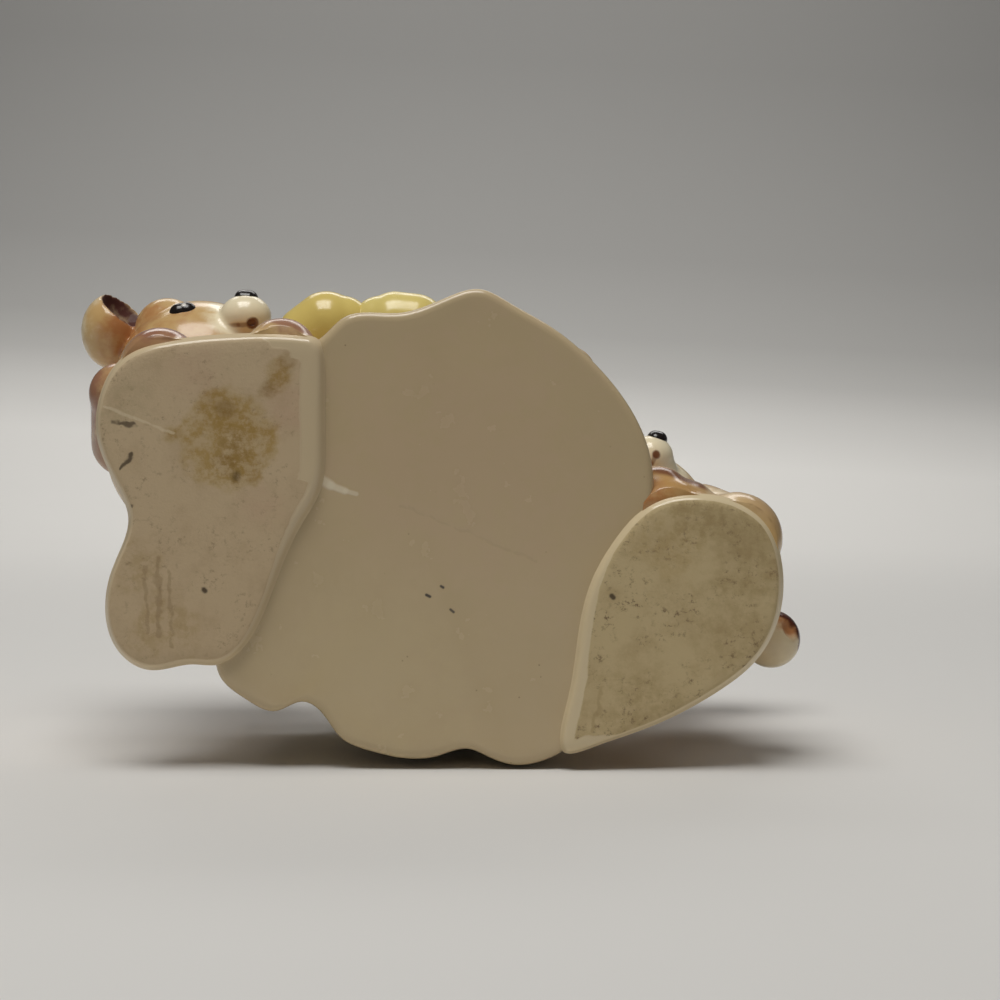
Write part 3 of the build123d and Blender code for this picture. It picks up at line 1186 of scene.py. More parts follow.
    def build_body(self) -> bpy.types.Object:
        """Returns the torso, rump, limbs and foot, blended into one skin.

        Returns:
            the body.
        """
        low, high = self.rump_rise
        thick, thin = self.rump_girth
        forms = [
            clay_limb(self.spot((0, 0), self.torso_rise), self.spot(self.neck, self.neck_rise),
                      self.torso_girth * MM, self.neck_girth * MM),
            clay_limb(self.spot(self.rump, low), self.spot(self.rump, high),
                      thick * MM, thin * MM),
        ]
        for share, turn, (girth, toe), trim in (
            (self.outer_leg, self.leg_turns[0], self.outer_leg_girth, self.leg_trim),
            (self.inner_leg, self.leg_turns[1], self.inner_leg_girth, 0.0),
        ):
            middle = self.spot(share, (girth - trim) / 2)
            reach = self.facing(turn * self.way) * (self.leg_length * MM / 2)
            leg = clay_limb(middle - reach, middle + reach, (girth - trim) * MM, (toe - trim) * MM)
            forms.append(leg)
        upper, lower = self.arm_girth
        for shoulder, paw in (
            (self.outer_shoulder, self.outer_paw), (self.inner_shoulder, self.inner_paw)
        ):
            arm = clay_limb(self.place(shoulder), self.place(paw), upper * MM, lower * MM)
            forms.append(arm)
            forms.append(clay_ball(self.place(paw), metres(*self.paw_radii), SMALL))
        for at, radii in self.swells:
            forms.append(clay_ball(metres(*at), metres(*radii), SMALL))
        forms.append(self.foot_slab())
        thing = fuse(f"{self.side.value}_cub_body", forms, self.body_grain * MM, self.body_rubs)
        slice_flat(thing, (PAD_HEIGHT - self.sole_dip) * MM)
        carve(thing, Pot().core())
        shade(thing)
        return thing

    def build_tail(self) -> bpy.types.Object:
        """Returns the stub of a tail, with a curl pressed into its top.

        Returns:
            the tail.
        """
        middle = self.place(self.tail)
        root, tip = self.tail_girth
        forms = [
            clay_ball(middle, metres(*self.tail_radii)),
            clay_limb(middle + metres(*self.tail_root), middle, root * MM, tip * MM),
        ]
        thing = fuse(f"{self.side.value}_cub_tail_stub", forms, self.tail_grain * MM, self.tail_rubs)
        curl = middle + metres(*self.curl_offset)
        carve(thing, clay_ball(curl, metres(*self.curl_radii), SMALL))
        rub(thing, self.curl_grain * MM, self.curl_rubs)
        shade(thing)
        return thing

    def foot_slab(self) -> bpy.types.Object:
        """Returns the broad foot that the pad's outline belongs to.

        Returns:
            the slab.
        """
        loop = self.pad_loop(self.foot_points)
        middle = loop.mean(axis=0)
        rings = [
            level_ring(middle + (loop - middle) * share, height)
            for share, height in self.foot_profile
        ]
        return ring_form("slab", rings)

    def muzzle_tip(self) -> Vector:
        """Returns the middle of the muzzle's tip, in metres."""
        out = self.facing(self.muzzle_turn, self.muzzle_dip)
        reach = self.head_radius * self.muzzle_reach + self.muzzle_length
        return self.head_middle() + out * reach * MM

    def mouth(self) -> Vector:
        """Returns the middle of the small open mouth, in metres."""
        return self.muzzle_tip() + metres(*self.mouth_offset)

    def build_head(self) -> bpy.types.Object:
        """Returns the head with its temples, cheeks, muzzle and cupped ears in one skin.

        Returns:
            the head.
        """
        middle = self.head_middle()
        forms = [clay_ball(middle, metres(*self.head_radii))]
        tip = self.muzzle_tip()
        out = self.facing(self.muzzle_turn, self.muzzle_dip)
        back, front = self.muzzle_stem
        thick, thin = self.muzzle_girth
        forms.append(
            clay_limb(tip - out * back * MM, tip - out * front * MM, thick * MM, thin * MM)
        )
        pushed = tip + metres(*self.muzzle_shift)
        forms.append(clay_ball(pushed, metres(*self.muzzle_radii), SMALL))
        bridge = tip - out * self.bridge_back * MM
        forms.append(clay_ball(bridge, metres(*self.bridge_radii), SMALL))
        for way in (-1, 1):
            out = self.facing(self.temple_turn * way, self.temple_rise)
            temple = middle + out * (self.temple_reach * MM)
            forms.append(clay_ball(temple, metres(*self.temple_radii), SMALL))
            out = self.facing(self.cheek_turn * way, self.cheek_dip)
            cheek = middle + out * (self.cheek_reach * MM)
            forms.append(clay_ball(cheek, metres(*self.cheek_radii), SMALL))
            forms.append(self.build_ear(way))
        thing = fuse(f"{self.side.value}_cub_face", forms, self.face_grain * MM, self.face_rubs)
        opening = Vector(self.mouth_shape) * self.mouth_radius
        carve(thing, clay_ball(self.mouth() + metres(0, 0, -self.mouth_drop), opening * MM, SMALL))
        shade(thing)
        return thing

    def ear_root(self, way: int) -> Vector:
        """Returns the middle of one ear, in metres; way is 1 or -1."""
        out = self.facing(self.ear_turn * way, self.ear_rise)
        return self.head_middle() + out * (self.head_radius * self.ear_reach * MM)

    def ear_hollow(self, way: int) -> Vector:
        """Returns the middle of one ear's hollow, in metres; way is 1 or -1."""
        out = self.facing(self.cup_turn * way, self.cup_dip)
        return self.ear_root(way) + out * self.cup_reach * MM

    def build_ear(self, way: int) -> bpy.types.Object:
        """Returns one ear, hollowed like a cup in front.

        Args:
            way: 1 or -1, the turn from the gaze that it lies at.

        Returns:
            the ear.
        """
        ear = clay_ball(self.ear_root(way), metres(*self.ear_radii))
        carve(ear, clay_ball(self.ear_hollow(way), metres(*[self.cup_radius] * 3)))
        return ear

    def eye_facing(self, way: int) -> Vector:
        """Returns the unit vector that one eye looks along; way is 1 or -1."""
        return self.facing(self.eye_turn * way, self.eye_dip)

    def eye_across(self, way: int) -> Vector:
        """Returns the unit vector across one eye; way is 1 or -1."""
        return self.facing(self.eye_turn * way + 90.0)

    def eye_middle(self, way: int) -> Vector:
        """Returns the middle of one eye, in metres; way is 1 or -1."""
        return self.head_middle() + self.eye_facing(way) * self.eye_reach * MM

    def build_eyes(self) -> bpy.types.Object:
        """Returns the pair of painted eyes, low domes on the face.

        Returns:
            both eyes as one piece.
        """
        domes = [
            clay_ball(
                self.eye_middle(way) + self.eye_across(way) * shift * MM,
                metres(*self.eye_radii), SMALL,
            )
            for way in (-1, 1) for shift in (-self.eye_spread, self.eye_spread)
        ]
        thing = fuse(f"{self.side.value}_cub_eye_domes", domes, self.eye_grain * MM, self.eye_rubs)
        shade(thing)
        return thing

    def nose_middle(self) -> Vector:
        """Returns the middle of the nose, in metres."""
        out = self.facing(self.nose_turn, self.nose_rise)
        return self.muzzle_tip() + out * self.nose_reach * MM

    def build_nose(self) -> bpy.types.Object:
        """Returns the nose, a glossy rounded cap on the muzzle.

        Returns:
            the nose.
        """
        across = self.facing(self.nose_turn + 90.0)
        thing = fuse(
            f"{self.side.value}_cub_nose_cap",
            [clay_ball(self.nose_middle() + across * shift * MM, metres(*self.nose_radii), SMALL)
             for shift in (-self.nose_spread, 0.0, self.nose_spread)],
            self.nose_grain * MM, self.nose_rubs,
        )
        shade(thing)
        return thing

    def build_pad(self) -> bpy.types.Object:
        """Returns the foot pad: a dry face inside a softly bevelled glazed border.

        Returns:
            the pad.
        """
        loop = self.pad_loop(self.pad_points)
        forward = np.roll(loop, -1, axis=0) - np.roll(loop, 1, axis=0)
        normal = np.stack([-forward[:, 1], forward[:, 0]], axis=1)
        normal /= np.linalg.norm(normal, axis=1, keepdims=True)
        middle = loop.mean(axis=0)
        if ((middle - loop) * normal).sum() < 0:
            normal = -normal
        rings = [level_ring(loop + normal * inset, height) for inset, height in self.pad_wall]
        reach = np.linalg.norm(loop - middle, axis=1, keepdims=True)
        for inset, height in self.pad_bevel:
            rings.append(level_ring(middle + (loop - middle) * (1 - inset / reach), height))
        face = (loop - middle) * (1 - self.pad_bevel[-1][0] / reach)
        for share in self.pad_steps:
            rings.append(level_ring(middle + face * share, 0.0))
        thing = ring_form(f"{self.side.value}_dry_pad", rings)
        self.mark_border(thing, loop)
        shade(thing, self.pad_crease)
        return thing

    def border_width(self, x: float, y: float) -> float:
        """Returns how wide the glazed border is near a point, in millimetres.

        Args:
            x: the point's place across, in millimetres.
            y: the point's place along, in millimetres.

        Returns:
            the width.
        """
        if self.side is Side.LEFT:
            straight = max(0.0, min(1.0, (x + 34.0) / 8.0)) * (1.0 if y < -8.0 else 0.35)
            return 0.9 + 4.1 * straight
        inner = max(0.0, min(1.0, (48.0 - x) / 8.0))
        return 0.5 + 2.5 * inner

    def mark_border(self, thing: bpy.types.Object, loop: np.ndarray) -> None:
        """Writes how far inside the border each point lies, as the attribute dry.

        Args:
            thing: the pad.
            loop: its outline in millimetres.
        """
        layer = thing.data.attributes.new("dry", "FLOAT", "POINT")
        for vertex in thing.data.vertices:
            x, y, z = (c / MM for c in vertex.co)
            away = float(np.min(np.hypot(loop[:, 0] - x, loop[:, 1] - y)))
            share = (away - self.border_width(x, y)) / self.border_softness + 0.5
            low = z < self.border_height
            layer.data[vertex.index].value = max(0.0, min(1.0, share)) if low else 0.0

    def body_finish(self) -> Glaze:
        """Returns the body's glaze: pale fur colour, browner at the limbs and the back.

        Returns:
            the glaze.
        """
        belly = millimetres(self.spot((0, 0), 40.0) + self.facing() * 20 * MM)
        patches = [
            spray(self.spot(self.neck, 60.0) + self.facing() * 8 * MM, 28, 20, ORANGE, 0.8),
            spray(self.place(self.outer_shoulder), 17, 8, PINK, self.pinks[0]),
            spray(self.place(self.inner_shoulder), 14, 10, ORANGE, 0.6),
            spray(self.spot(self.rump, 24.0), 20, 14, ORANGE, 0.5),
            Patch(belly, 17, 12, PALE, 0.8),
        ]
        for share, turn, length in ((self.outer_leg, 24.0, 19.0), (self.inner_leg, 10.0, 17.0)):
            toe = self.spot(share, 7.0) + self.facing(turn * self.way) * (length * MM)
            patches.append(spray(toe, 11.0, 4.0, PINK, self.pinks[1]))
        for paw in (self.outer_paw, self.inner_paw):
            patches.append(spray(self.place(paw), 10, 6, PINK, self.pinks[2]))
        patches.extend(self.tints)
        return Glaze(
            f"{self.side.value} cub body glaze", FUR, PALE, 0.45, tuple(patches), self.lines
        )

    def head_finish(self) -> Glaze:
        """Returns the head's glaze: sprayed crown, cream muzzle and dark cupped ears.

        Returns:
            the glaze.
        """
        middle = self.head_middle()
        tip = self.muzzle_tip()
        patches = [
            spray(middle + metres(0, 0, 16) - self.facing() * 12 * MM, 27, 20, ORANGE, 0.8),
            spray(middle - self.facing() * 18 * MM, 24, 18, ORANGE, 0.75),
            spray(middle - metres(0, 0, 16), 20, 12, ORANGE, 0.6),
        ]
        for way in (-1, 1):
            root = self.ear_root(way)
            join = middle + self.facing(80.0 * way, 4.0) * 24.0 * MM
            temple = middle + self.facing(66.0 * way, -18.0) * 22.0 * MM
            patches.append(spray(join, 13.0, 10.0, ORANGE, 0.95))
            patches.append(spray(temple, 9.0, 8.0, ORANGE, 0.7))
            outside = root + self.facing(110.0 * way, 10.0) * 5.0 * MM
            patches.append(spray(outside, 11.0, 6.0, PALE, 0.95))
            patches.append(spray(self.ear_hollow(way), *self.cup_spray, MAROON, 1.0))
            patches.append(spray(self.eye_middle(way), 5.2, 2.4, ORANGE, 0.55))
        patches.append(spray(tip, 12.5, 5.0, CREAM_WHITE, 1.0))
        mouth = self.mouth()
        patches.append(spray(mouth, self.mouth_radius + 0.4, 0.7, BROWN, 0.95))
        bend = millimetres(tip + metres(-1.0, 2.2, -6.1))
        end = millimetres(tip + metres(-4.9, 1.9, -3.5))
        creases = (
            Stroke(millimetres(mouth), bend, 0.9, BROWN, 0.6, 0.3, -0.9),
            Stroke(bend, end, 0.9, BROWN, 0.6, 0.3, -0.9),
        )
        hollows = tuple(
            spray(self.ear_hollow(way), *self.cup_spray, MATT) for way in (-1, 1)
        )
        return Glaze(
            f"{self.side.value} cub head glaze", FUR, HEAD_POOL, 0.5, tuple(patches),
            creases, hollows,
        )

    def tail_finish(self) -> Glaze:
        """Returns the tail's glaze: cream below, brown along its outer top edge.

        Returns:
            the glaze.
        """
        middle = self.place(self.tail)
        patches = (
            spray(middle + metres(3.5, -4.0, -2.0), 6.6, 3.4, ORANGE, 0.95),
            *(spray(middle + metres(*at), 2.9, 1.2, MAROON, 0.95)
              for at in self.tail_rim),
        )
        return Glaze(f"{self.side.value} cub tail glaze", PALE, CREAM, 0.6, patches)

    def eye_finish(self) -> Glaze:
        """Returns the eyes' black glaze with two small painted glints on each.

        Returns:
            the glaze.
        """
        glints = []
        for way in (-1, 1):
            across = self.eye_across(way)
            spot = self.eye_middle(way) + self.eye_facing(way) * 2.7 * MM
            large = spot + across * 0.7 * MM + metres(0, 0, -1.1)
            small = spot - across * 1.3 * MM + metres(0, 0, 0.6)
            glints.append(spray(large, 1.1, 0.4, GLINT))
            glints.append(spray(small, 0.7, 0.3, GLINT))
        return self.black_glaze("eye", tuple(glints))

    def black_glaze(self, name: str, glints: tuple[Patch, ...] = ()) -> Glaze:
        """Returns the black glaze of the eyes or the nose."""
        title = f"{self.side.value} cub {name} glaze"
        return Glaze(title, BLACK, BLACK_POOL, 0.5, glints, ripple=0.03)

    def nodes(self, *names: str) -> list[str]:
        """Returns this cub's CAD nodes by their short names."""
        return [f"{self.side.value}_cub_{name}" for name in names]

    def build(self, pad: DryPad) -> None:
        """Makes and dresses the whole cub.

        Args:
            pad: the finish of its foot pad.
        """
        body_nodes = ["torso", "rump", "outer_leg", "inner_leg", "outer_arm", "inner_arm"]
        body = self.build_body()
        finish_piece(body, self.body_finish().make(), "cub_glaze", *self.nodes(*body_nodes))
        head = self.build_head()
        finish_piece(
            head, self.head_finish().make(), "cub_glaze",
            *self.nodes("head", "muzzle", "outer_ear", "inner_ear"),
        )
        eyes = self.build_eyes()
        finish_piece(eyes, self.eye_finish().make(), "black_glaze", *self.nodes("eyes"))
        nose = self.build_nose()
        finish_piece(nose, self.black_glaze("nose").make(), "black_glaze", *self.nodes("nose"))
        if self.tail:
            tail = self.build_tail()
            finish_piece(tail, self.tail_finish().make(), "cub_glaze", *self.nodes("tail"))
        sole = self.build_pad()
        finish_piece(sole, pad.make(), "dry_bisque", f"{self.side.value}_foot_pad")


@dataclass
class Bow:
    """The yellow bow on the pot's front: two soft loops and a knot."""

    middle_x: float = -13.8
    front: float = POT_Y - POT_DEPTH * 0.441
    height: float = PAD_HEIGHT + 38.0
    loop_out: float = 8.7
    loop_girth: Flat = (8.8, 8.2)
    fold_out: float = 4.8
    fold_radii: Point = (7.6, 7.7, 7.0)
    knot_radii: Point = (3.4, 4.5, 5.0)
    grain: float = 0.6
    knot_grain: float = 0.5
    rubs: int = 6

    def build(self) -> None:
        """Makes and dresses the loops and the knot."""
        for name, way, reach, sweep, colours in (
            ("left", -1, 4.3, 2.6, (YELLOW, DEEP_YELLOW)),
            ("right", 1, 4.5, 0.0, (PALE_YELLOW, YELLOW)),
        ):
            start = metres(self.middle_x + way * self.loop_out, self.front, self.height)
            end = start + metres(way * reach, sweep, 0)
            fold = metres(self.middle_x + way * self.fold_out, self.front, self.height)
            forms = [
                clay_limb(start, end, *(girth * MM for girth in self.loop_girth)),
                clay_ball(fold, metres(*self.fold_radii), SMALL),
            ]
            loop = fuse(f"bow_{name}_ribbon", forms, self.grain * MM, self.rubs)
            shade(loop)
            glaze = Glaze(f"bow {name} glaze", colours[0], colours[1], 0.7)
            finish_piece(loop, glaze.make(), "yellow_glaze", f"bow_{name}_loop")
        middle = metres(self.middle_x, self.front, self.height)
        ball = clay_ball(middle, metres(*self.knot_radii), SMALL)
        knot = fuse("bow_knot_wrap", [ball], self.knot_grain * MM, self.rubs)
        shade(knot)
        glaze = Glaze("bow knot glaze", YELLOW, DEEP_YELLOW, 0.6)
        finish_piece(knot, glaze.make(), "yellow_glaze", "bow_knot")


@dataclass
class Studio:
    """The pale table and backdrop, the soft lights and the camera of the photograph."""

    table_y: float = 59.3
    sweep_run: float = 4.2
    sweep_behind: float = 1.1
    sweep_start: float = 0.9
    sweep_bend: float = 0.5
    sweep_half_width: float = 1.6
    floor_size: float = 6.0
    floor_drop: float = 0.0002
    # Painted shade: the table's colour goes from pale on the table to grey up the backdrop, and a
    # little darker towards +X, in place of the light falling off there.
    painted_falloff_span: Flat = (-0.36, 0.06)
    painted_falloff_slant: float = -0.056
    camera_at: Point = (20.65, -19.4, -480.0)
    camera_dip: float = 1.9
    focal_pixels: float = 2087.0
    photo_pixels: float = 1000.0
    film: float = 36.0
    shade_light: float = 0.06
    backdrop_light: float = 0.94
    lamps: tuple[tuple[str, Point, float, float, Point], ...] = (
        ("ceiling_panel", (-0.12, -0.95, -0.20), 0.6, 7.6, (0.0, 0.0, 0.045)),
        ("backdrop_panel", (0.0, -0.9, 1.25), 1.1, 11.0, (0.0, 0.0, 1.5)),
    )
    warmth: Colour = (1.0, 0.985, 0.955)
    # Stops of the painted shade: where along the span, and the tone there.
    painted_falloff_stops: tuple[Flat, ...] = (
        (0.02, 0.23), (0.44, 0.285), (0.61, 0.35), (0.69, 0.43), (0.75, 0.55), (0.85, 0.70),
        (1.0, 0.73),
    )

    def sweep_material(self) -> bpy.types.Material:
        """Returns the table's material: pale below, with painted shade that greys it up the backdrop
        and a little towards +X, seen from one side.

        Returns:
            the material.
        """
        material, w, shader = new_material("Seamless table")
        split = w.node("ShaderNodeSeparateXYZ")
        w.put(split, 0, w.place())
        # Painted shade: darker up the backdrop and towards +X.
        slant = w.math("MULTIPLY", split.outputs["X"], self.painted_falloff_slant)
        height = w.math("ADD", split.outputs["Y"], slant)
        span = w.node("ShaderNodeMapRange")
        w.put(span, "Value", height)
        w.put(span, "From Min", self.painted_falloff_span[0])
        w.put(span, "From Max", self.painted_falloff_span[1])
        ramp = w.node("ShaderNodeValToRGB")
        stops = ramp.color_ramp.elements
        while len(stops) < len(self.painted_falloff_stops):
            stops.new(0.5)
        for stop, (at, tone) in zip(stops, self.painted_falloff_stops):
            stop.position = at
            stop.color = (*(tone * share for share in self.warmth), 1)
        w.put(ramp, 0, span.outputs["Result"])
        colour = ramp.outputs["Color"]
        w.put(shader, "Base Color", colour)
        w.put(shader, "Roughness", PAPER_ROUGHNESS)
        front = w.math("SUBTRACT", 1.0, w.node("ShaderNodeNewGeometry").outputs["Backfacing"])
        self.show_where(w, shader, front)
        return material

    def show_where(
        self, w: Wiring, shader: bpy.types.Node, share: bpy.types.NodeSocket
    ) -> None:
        """Shows a shader by a share and leaves the rest clear.

        Args:
            w: the material's wiring.
            shader: its Principled shader.
            share: 1 where the shader shows.
        """
        clear = w.node("ShaderNodeBsdfTransparent")
        mixed = w.node("ShaderNodeMixShader")
        w.put(mixed, 0, share)
        w.put(mixed, 1, clear.outputs[0])
        w.put(mixed, 2, shader.outputs[0])
        w.put(w.tree.nodes["Material Output"], "Surface", mixed.outputs[0])

    def floor_material(self) -> bpy.types.Material:
        """Returns the upright floor's material, which only a camera above it sees.

        Returns:
            the material.
        """
        material, w, shader = new_material("Upright floor")
        cloud = w.noise(w.place(), scale=4.0, detail=2.0)
        tone = w.mix(cloud, (0.62, 0.615, 0.60, 1), (0.66, 0.655, 0.64, 1))
        w.put(shader, "Base Color", tone)
        w.put(shader, "Roughness", PAPER_ROUGHNESS)
        front = w.math("SUBTRACT", 1.0, w.node("ShaderNodeNewGeometry").outputs["Backfacing"])
        seen = w.math("MULTIPLY", w.node("ShaderNodeLightPath").outputs["Is Camera Ray"], front)
        self.show_where(w, shader, seen)
        return material

    def build_sweep(self) -> None:
        """Makes the table that the planter's back lies on, curving up into the backdrop."""
        clear_selection()
        bpy.ops.mesh.primitive_grid_add(x_subdivisions=2, y_subdivisions=80, size=2.0)
        sweep = bpy.context.active_object
        sweep.name = "table_sweep"
        start = self.sweep_start
        bend = self.sweep_bend
        for vertex in sweep.data.vertices:
            across, along = vertex.co.x, (vertex.co.y + 1) / 2
            run = along * self.sweep_run - self.sweep_behind
            turn = min(max((run - start) / bend, 0.0), math.pi / 2)
            rest = max(run - start - bend * math.pi / 2, 0.0)
            z = min(run, start) + bend * math.sin(turn)
            rise = bend * (1 - math.cos(turn)) + rest
            vertex.co = (across * self.sweep_half_width, self.table_y * MM - rise, z)
        sweep.data.update()
        if sweep.data.polygons[0].normal.y > 0:
            sweep.data.flip_normals()
        shade(sweep)
        sweep.data.materials.append(self.sweep_material())

    def build_floor(self) -> None:
        """Makes the floor under the upright planter, seen only from above."""
        clear_selection()
        bpy.ops.mesh.primitive_plane_add(size=self.floor_size, location=(0, 0, -self.floor_drop))
        floor = bpy.context.active_object
        floor.name = "upright_floor"
        place_in_mesh(floor)
        floor.data.materials.append(self.floor_material())

    def lamp(self, name: str, at: Point, size: float, power: float, aim: Point) -> None:
        """Adds a soft square lamp that points at the planter.

        Args:
            name: the lamp's name.
            at: its place, in metres.
            size: its side, in metres.
            power: its power, in watts.
            aim: the point that it faces, in metres.
        """
        clear_selection()
        bpy.ops.object.light_add(type="AREA", location=at)
        lamp = bpy.context.active_object
        lamp.name = name
        lamp.data.size = size
        lamp.data.energy = power
        lamp.data.color = self.warmth
        lamp.rotation_mode = "QUATERNION"
        lamp.rotation_quaternion = (Vector(aim) - Vector(at)).to_track_quat("-Z", "Y")

    def build_world(self) -> None:
        """Sets the pale surroundings that light the shaded sides."""
        world = bpy.data.worlds.new("Studio")
        bpy.context.scene.world = world
        world.use_nodes = True
        shell = world.node_tree.nodes["Background"]
        w = Wiring(world.node_tree)
        seen = w.node("ShaderNodeLightPath").outputs["Is Camera Ray"]
        w.put(shell, "Color", w.mix(seen, (0.95, 0.97, 1.0, 1), (0.50, 0.495, 0.48, 1)))
        shown = w.math("MULTIPLY", seen, self.backdrop_light)
        w.put(shell, "Strength", w.math("ADD", self.shade_light, shown))

    def build_camera(self) -> None:
        """Sets the photograph's camera: in front of the underside, a little above it."""
        tilt = math.radians(self.camera_dip)
        data = bpy.data.cameras.new("Camera")
        data.sensor_width = self.film
        data.lens = self.focal_pixels / self.photo_pixels * self.film
        data.clip_start = 0.01
        data.clip_end = 50.0
        camera = bpy.data.objects.new("Camera", data)
        bpy.context.scene.collection.objects.link(camera)
        camera.location = metres(*self.camera_at)
        camera.rotation_euler = (math.pi - tilt, 0, 0)
        bpy.context.scene.camera = camera

    def build(self) -> None:
        """Makes the whole studio."""
        self.build_sweep()
        self.build_floor()
        for lamp in self.lamps:
            self.lamp(*lamp)
        self.build_world()
        self.build_camera()
        bpy.context.scene.view_settings.view_transform = "Standard"


def left_cub() -> Cub:
    """Returns the left cub, whose head looks out past the pot's front.

    Returns:
        the cub, ready to build.
    """
    return Cub(
        side=Side.LEFT,
        way=-1,
        stand=(POT_X - POT_LENGTH / 2 - 5.0, POT_Y - POT_DEPTH * 0.1706),
        neck=(-0.45, -0.55),
        head=(-0.435, -0.711, 0.21),
        gaze=-62.0,
        muzzle_turn=8.0,
        nose_turn=-24.0,
        rump=(-0.02, 1.42),
        outer_leg=(-0.40, -0.51),
        inner_leg=(0.78, -0.66),
        outer_shoulder=(-1.05, -0.04, 0.57),
        outer_paw=(-1.00, -0.58, 0.40),
        inner_shoulder=(0.40, -0.87, 0.735),
        inner_paw=(1.16, -0.98, 0.79),
        pad_outline=[
            (1.00, -0.84), (0.97, -0.95), (0.84, -0.99), (0.28, -1.00), (-0.43, -0.95),
            (-0.86, -0.79), (-1.00, -0.43), (-0.80, -0.07), (-0.72, 0.08), (-0.89, 0.46),
            (-0.88, 0.82), (-0.59, 1.00), (-0.18, 0.97), (0.07, 0.97), (0.29, 0.86),
            (0.53, 0.53), (0.80, 0.12), (0.97, -0.10), (1.00, -0.28), (1.00, -0.56),
        ],
        pad_size=(52.0, 76.8),
        pad_middle=(0.073, 0.163),
        mouth_offset=(2.9, 1.7, -5.6),
        mouth_radius=1.5,
        muzzle_shift=(0.3, -0.3, 0.0),
        muzzle_radii=(6.9, 5.9, 6.6),
        nose_spread=0.9,
        nose_reach=5.4,
        pinks=(0.75, 0.85, 0.45),
        leg_trim=1.3,
        tints=(
            Patch((-81.0, -30.0, 35.0), 15.0, 6.0, PINK, 0.85),
            Patch((-60.0, -40.0, 8.0), 12.0, 4.0, PINK, 0.6),
        ),
    )


def right_cub() -> Cub:
    """Returns the right cub, which stands further back and reaches round the pot.

    Returns:
        the cub, ready to build.
    """
    return Cub(
        side=Side.RIGHT,
        way=1,
        stand=(POT_X + POT_LENGTH / 2 + 5.0, POT_Y + POT_DEPTH * 0.1606),
        neck=(-0.25, -0.50),
        head=(-0.29, -0.57, 0.38),
        gaze=-73.5,
        muzzle_turn=0.0,
        nose_turn=-4.0,
        rump=(-0.44, 0.62),
        outer_leg=(0.42, -0.44),
        inner_leg=(-0.22, -0.64),
        outer_shoulder=(0.44, -0.82, 0.63),
        outer_paw=(0.73, -0.76, 0.44),
        inner_shoulder=(-0.50, -0.84, 0.78),
        inner_paw=(-1.11, -2.40, 0.47),
        pad_outline=[
            (-0.20, -0.92), (0.25, -1.00), (0.62, -0.93), (0.88, -0.75), (1.00, -0.46),
            (0.99, -0.11), (0.84, 0.20), (0.44, 0.51), (-0.21, 0.80), (-0.74, 0.96),
            (-0.99, 1.00), (-0.95, 0.59), (-0.86, 0.12), (-0.76, -0.27), (-0.54, -0.62),
        ],
        pad_size=(50.0, 59.2),
        pad_middle=(-0.030, 0.071),
        mouth_offset=(0.2, -0.4, -6.3),
        mouth_radius=1.0,
        muzzle_shift=(-0.9, 0.3, 0.0),
        muzzle_radii=(6.2, 5.7, 6.4),
        nose_spread=0.5,
        nose_reach=4.6,
        pinks=(0.2, 0.2, 0.2),
        tints=(
            Patch((59.0, -6.5, 5.0), 10.5, 5.0, (0.50, 0.27, 0.08), 0.9, 0.2),
            Patch((55.5, -3.5, 4.0), 6.5, 4.0, (0.42, 0.15, 0.055), 0.7, 0.4),
            Patch((83.0, 6.0, 22.0), 15.0, 8.0, PALE, 0.6),
        ),
        lines=(
            Stroke((56.5, -11.8, 8.0), (67.0, -6.6, 8.0), 3.0, BROWN, 0.95, 0.8),
        ),
        swells=(
            ((58.0, -5.2, 12.0), (7.0, 6.2, 8.0)),
            ((64.8, -2.8, 11.0), (6.4, 5.2, 8.0)),
        ),
        tail=(1.09, 0.45, 0.31),
    )


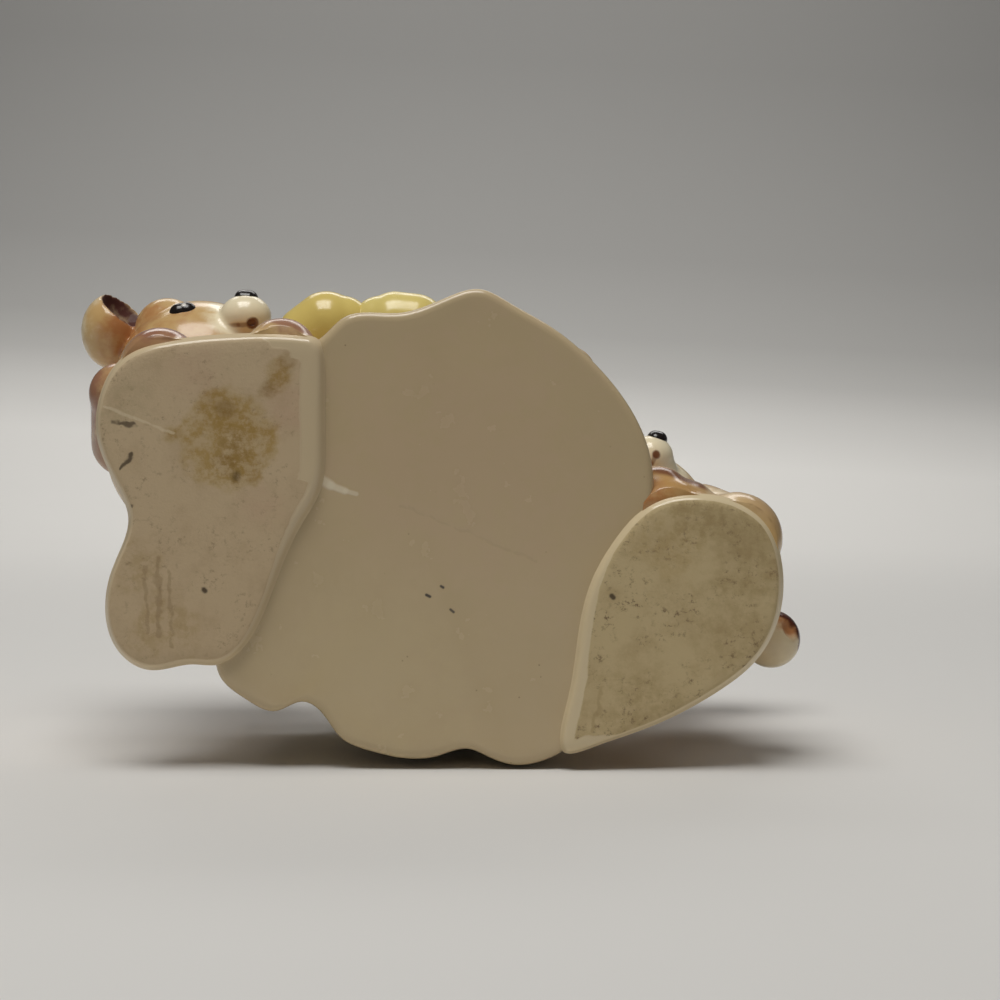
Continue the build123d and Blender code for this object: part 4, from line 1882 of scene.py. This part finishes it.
def left_pad() -> DryPad:
    """Returns the left pad's finish, with its yellow ring stain, kiln marks and a painted dark dot
    of shade for its vent hole.

    Returns:
        the pad's finish.
    """
    return DryPad(
        "Left dry pad", CLAY, (0.46, 0.33, 0.19), (0.66, 0.53, 0.34), 0.5,
        patches=(
            Patch((-27.5, -25.0, 0), 9.0, 7.0, ROSY, 0.55, 0.4),
            Patch((-50.0, -33.0, 0), 10.0, 8.0, ROSY, 0.4, 0.5),
            Patch((-34.0, -2.0, 0), 8.0, 7.0, ROSY, 0.4, 0.5),
            Patch((-42.2, -17.6, 0), 13.0, 4.0, (0.42, 0.27, 0.07), 0.85, 0.7),
            Patch((-44.0, -24.0, 0), 6.5, 3.4, OCHRE, 0.7, 0.6),
            Patch((-37.0, -20.0, 0), 5.6, 3.4, OCHRE, 0.7, 0.7),
            Patch((-38.6, -11.0, 0), 5.6, 3.0, OCHRE, 0.75, 0.8),
            Patch((-42.6, -24.4, 0), 2.8, 2.2, UMBER, 0.85, 0.3),
            Patch((-40.4, -16.4, 0), 4.6, 3.2, UMBER, 0.75, 0.9),
            Patch((-42.6, -12.4, 0), 3.6, 2.8, UMBER, 0.7, 0.9),
            Patch((-40.0, -8.8, 0), 1.8, 1.6, DARK_MARKS_AND_VENT_SHADE, 0.6, 0.3),
            Patch((-54.6, -18.6, 0), 3.0, 2.4, OCHRE, 0.8, 0.5),
            Patch((-30.2, -32.0, 0), 4.2, 2.8, OCHRE, 0.85, 0.6),
            Patch((-32.8, -29.0, 0), 3.0, 2.2, UMBER, 0.6, 0.6),
            Patch((-28.0, -35.4, 0), 2.4, 1.8, UMBER, 0.5, 0.6),
            Patch((-57.0, 26.0, 0), 10.0, 7.0, (0.40, 0.27, 0.11), 0.55, 0.8),
            Patch((-62.0, 12.0, 0), 9.0, 7.0, (0.42, 0.29, 0.13), 0.5, 0.8),
            Patch((-66.0, -26.0, 0), 9.0, 6.0, (0.44, 0.35, 0.20), 0.4, 0.8),
        ),
        strokes=(
            Stroke((-68.2, -21.6, 0), (-63.6, -20.4, 0), 0.8, DARK_MARKS_AND_VENT_SHADE, 0.8, 3.4),
            Stroke((-66.8, -10.8, 0), (-64.0, -13.6, 0), 0.7, DARK_MARKS_AND_VENT_SHADE, 0.85, 2.6),
            Stroke((-70.5, -25.0, 0), (-54.6, -18.8, 0), 0.5, (0.74, 0.62, 0.42), 0.6, 1.6),
            Stroke((-65.3, -2.2, 0), (-64.1, -2.0, 0), 0.6, DARK_MARKS_AND_VENT_SHADE, 0.7, 0.9),
            # Painted shade: a dark dot in place of the shade inside the pad's vent hole, which the
            # pad mesh does not cut.
            Stroke((-47.6, 17.2, 0), (-47.3, 17.5, 0), 0.8, DARK_MARKS_AND_VENT_SHADE, 0.9, 0.2),
            Stroke((-58.4, 10.0, 0), (-57.6, 28.0, 0), 0.9, RUN_BROWN, 0.4, 3.0),
            Stroke((-55.6, 14.0, 0), (-55.0, 30.0, 0), 0.7, RUN_BROWN, 0.35, 3.0),
            Stroke((-61.4, 12.0, 0), (-60.6, 27.0, 0), 0.7, RUN_BROWN, 0.35, 3.0),
        ),
    )


def right_pad() -> DryPad:
    """Returns the right pad's finish, speckled brown all over, with a painted dark dot of shade for
    its vent hole.

    Returns:
        the pad's finish.
    """
    return DryPad(
        "Right dry pad", (0.62, 0.49, 0.27), (0.40, 0.28, 0.13), (0.74, 0.61, 0.39), 0.9,
        patches=(
            Patch((82.0, 2.0, 0), 20, 13, DRAB, 0.75, 0.4),
            Patch((74.0, 26.0, 0), 13, 9, DRAB, 0.5, 0.7),
            Patch((54.0, 44.0, 0), 13, 8, DRAB, 0.5, 0.8),
            Patch((60.0, 6.0, 0), 11, 6, (0.46, 0.32, 0.13), 0.5, 0.8),
            Patch((66.0, 0.0, 0), 9, 6, DRAB, 0.5, 0.9),
            Patch((86.0, 12.0, 0), 5, 4, (0.36, 0.22, 0.08), 0.5, 0.6),
        ),
        strokes=(
            # Painted shade: a dark dot in place of the shade inside the pad's vent hole, which the
            # pad mesh does not cut.
            Stroke((46.4, 18.6, 0), (46.8, 19.0, 0), 0.8, DARK_MARKS_AND_VENT_SHADE, 0.9, 0.2),
            Stroke((44.0, 40.0, 0), (42.0, 50.0, 0), 0.8, (0.34, 0.22, 0.09), 0.35, 3.0),
        ),
    )


def main() -> None:
    """Builds the planter piece by piece and sets the studio round it."""
    pot = Pot()
    finish_piece(pot.build(), pot.finish().make(), "cream_glaze", "pot")
    left_cub().build(left_pad())
    right_cub().build(right_pad())
    Bow().build()
    Studio().build()


if __name__ == "__main__":
    main()
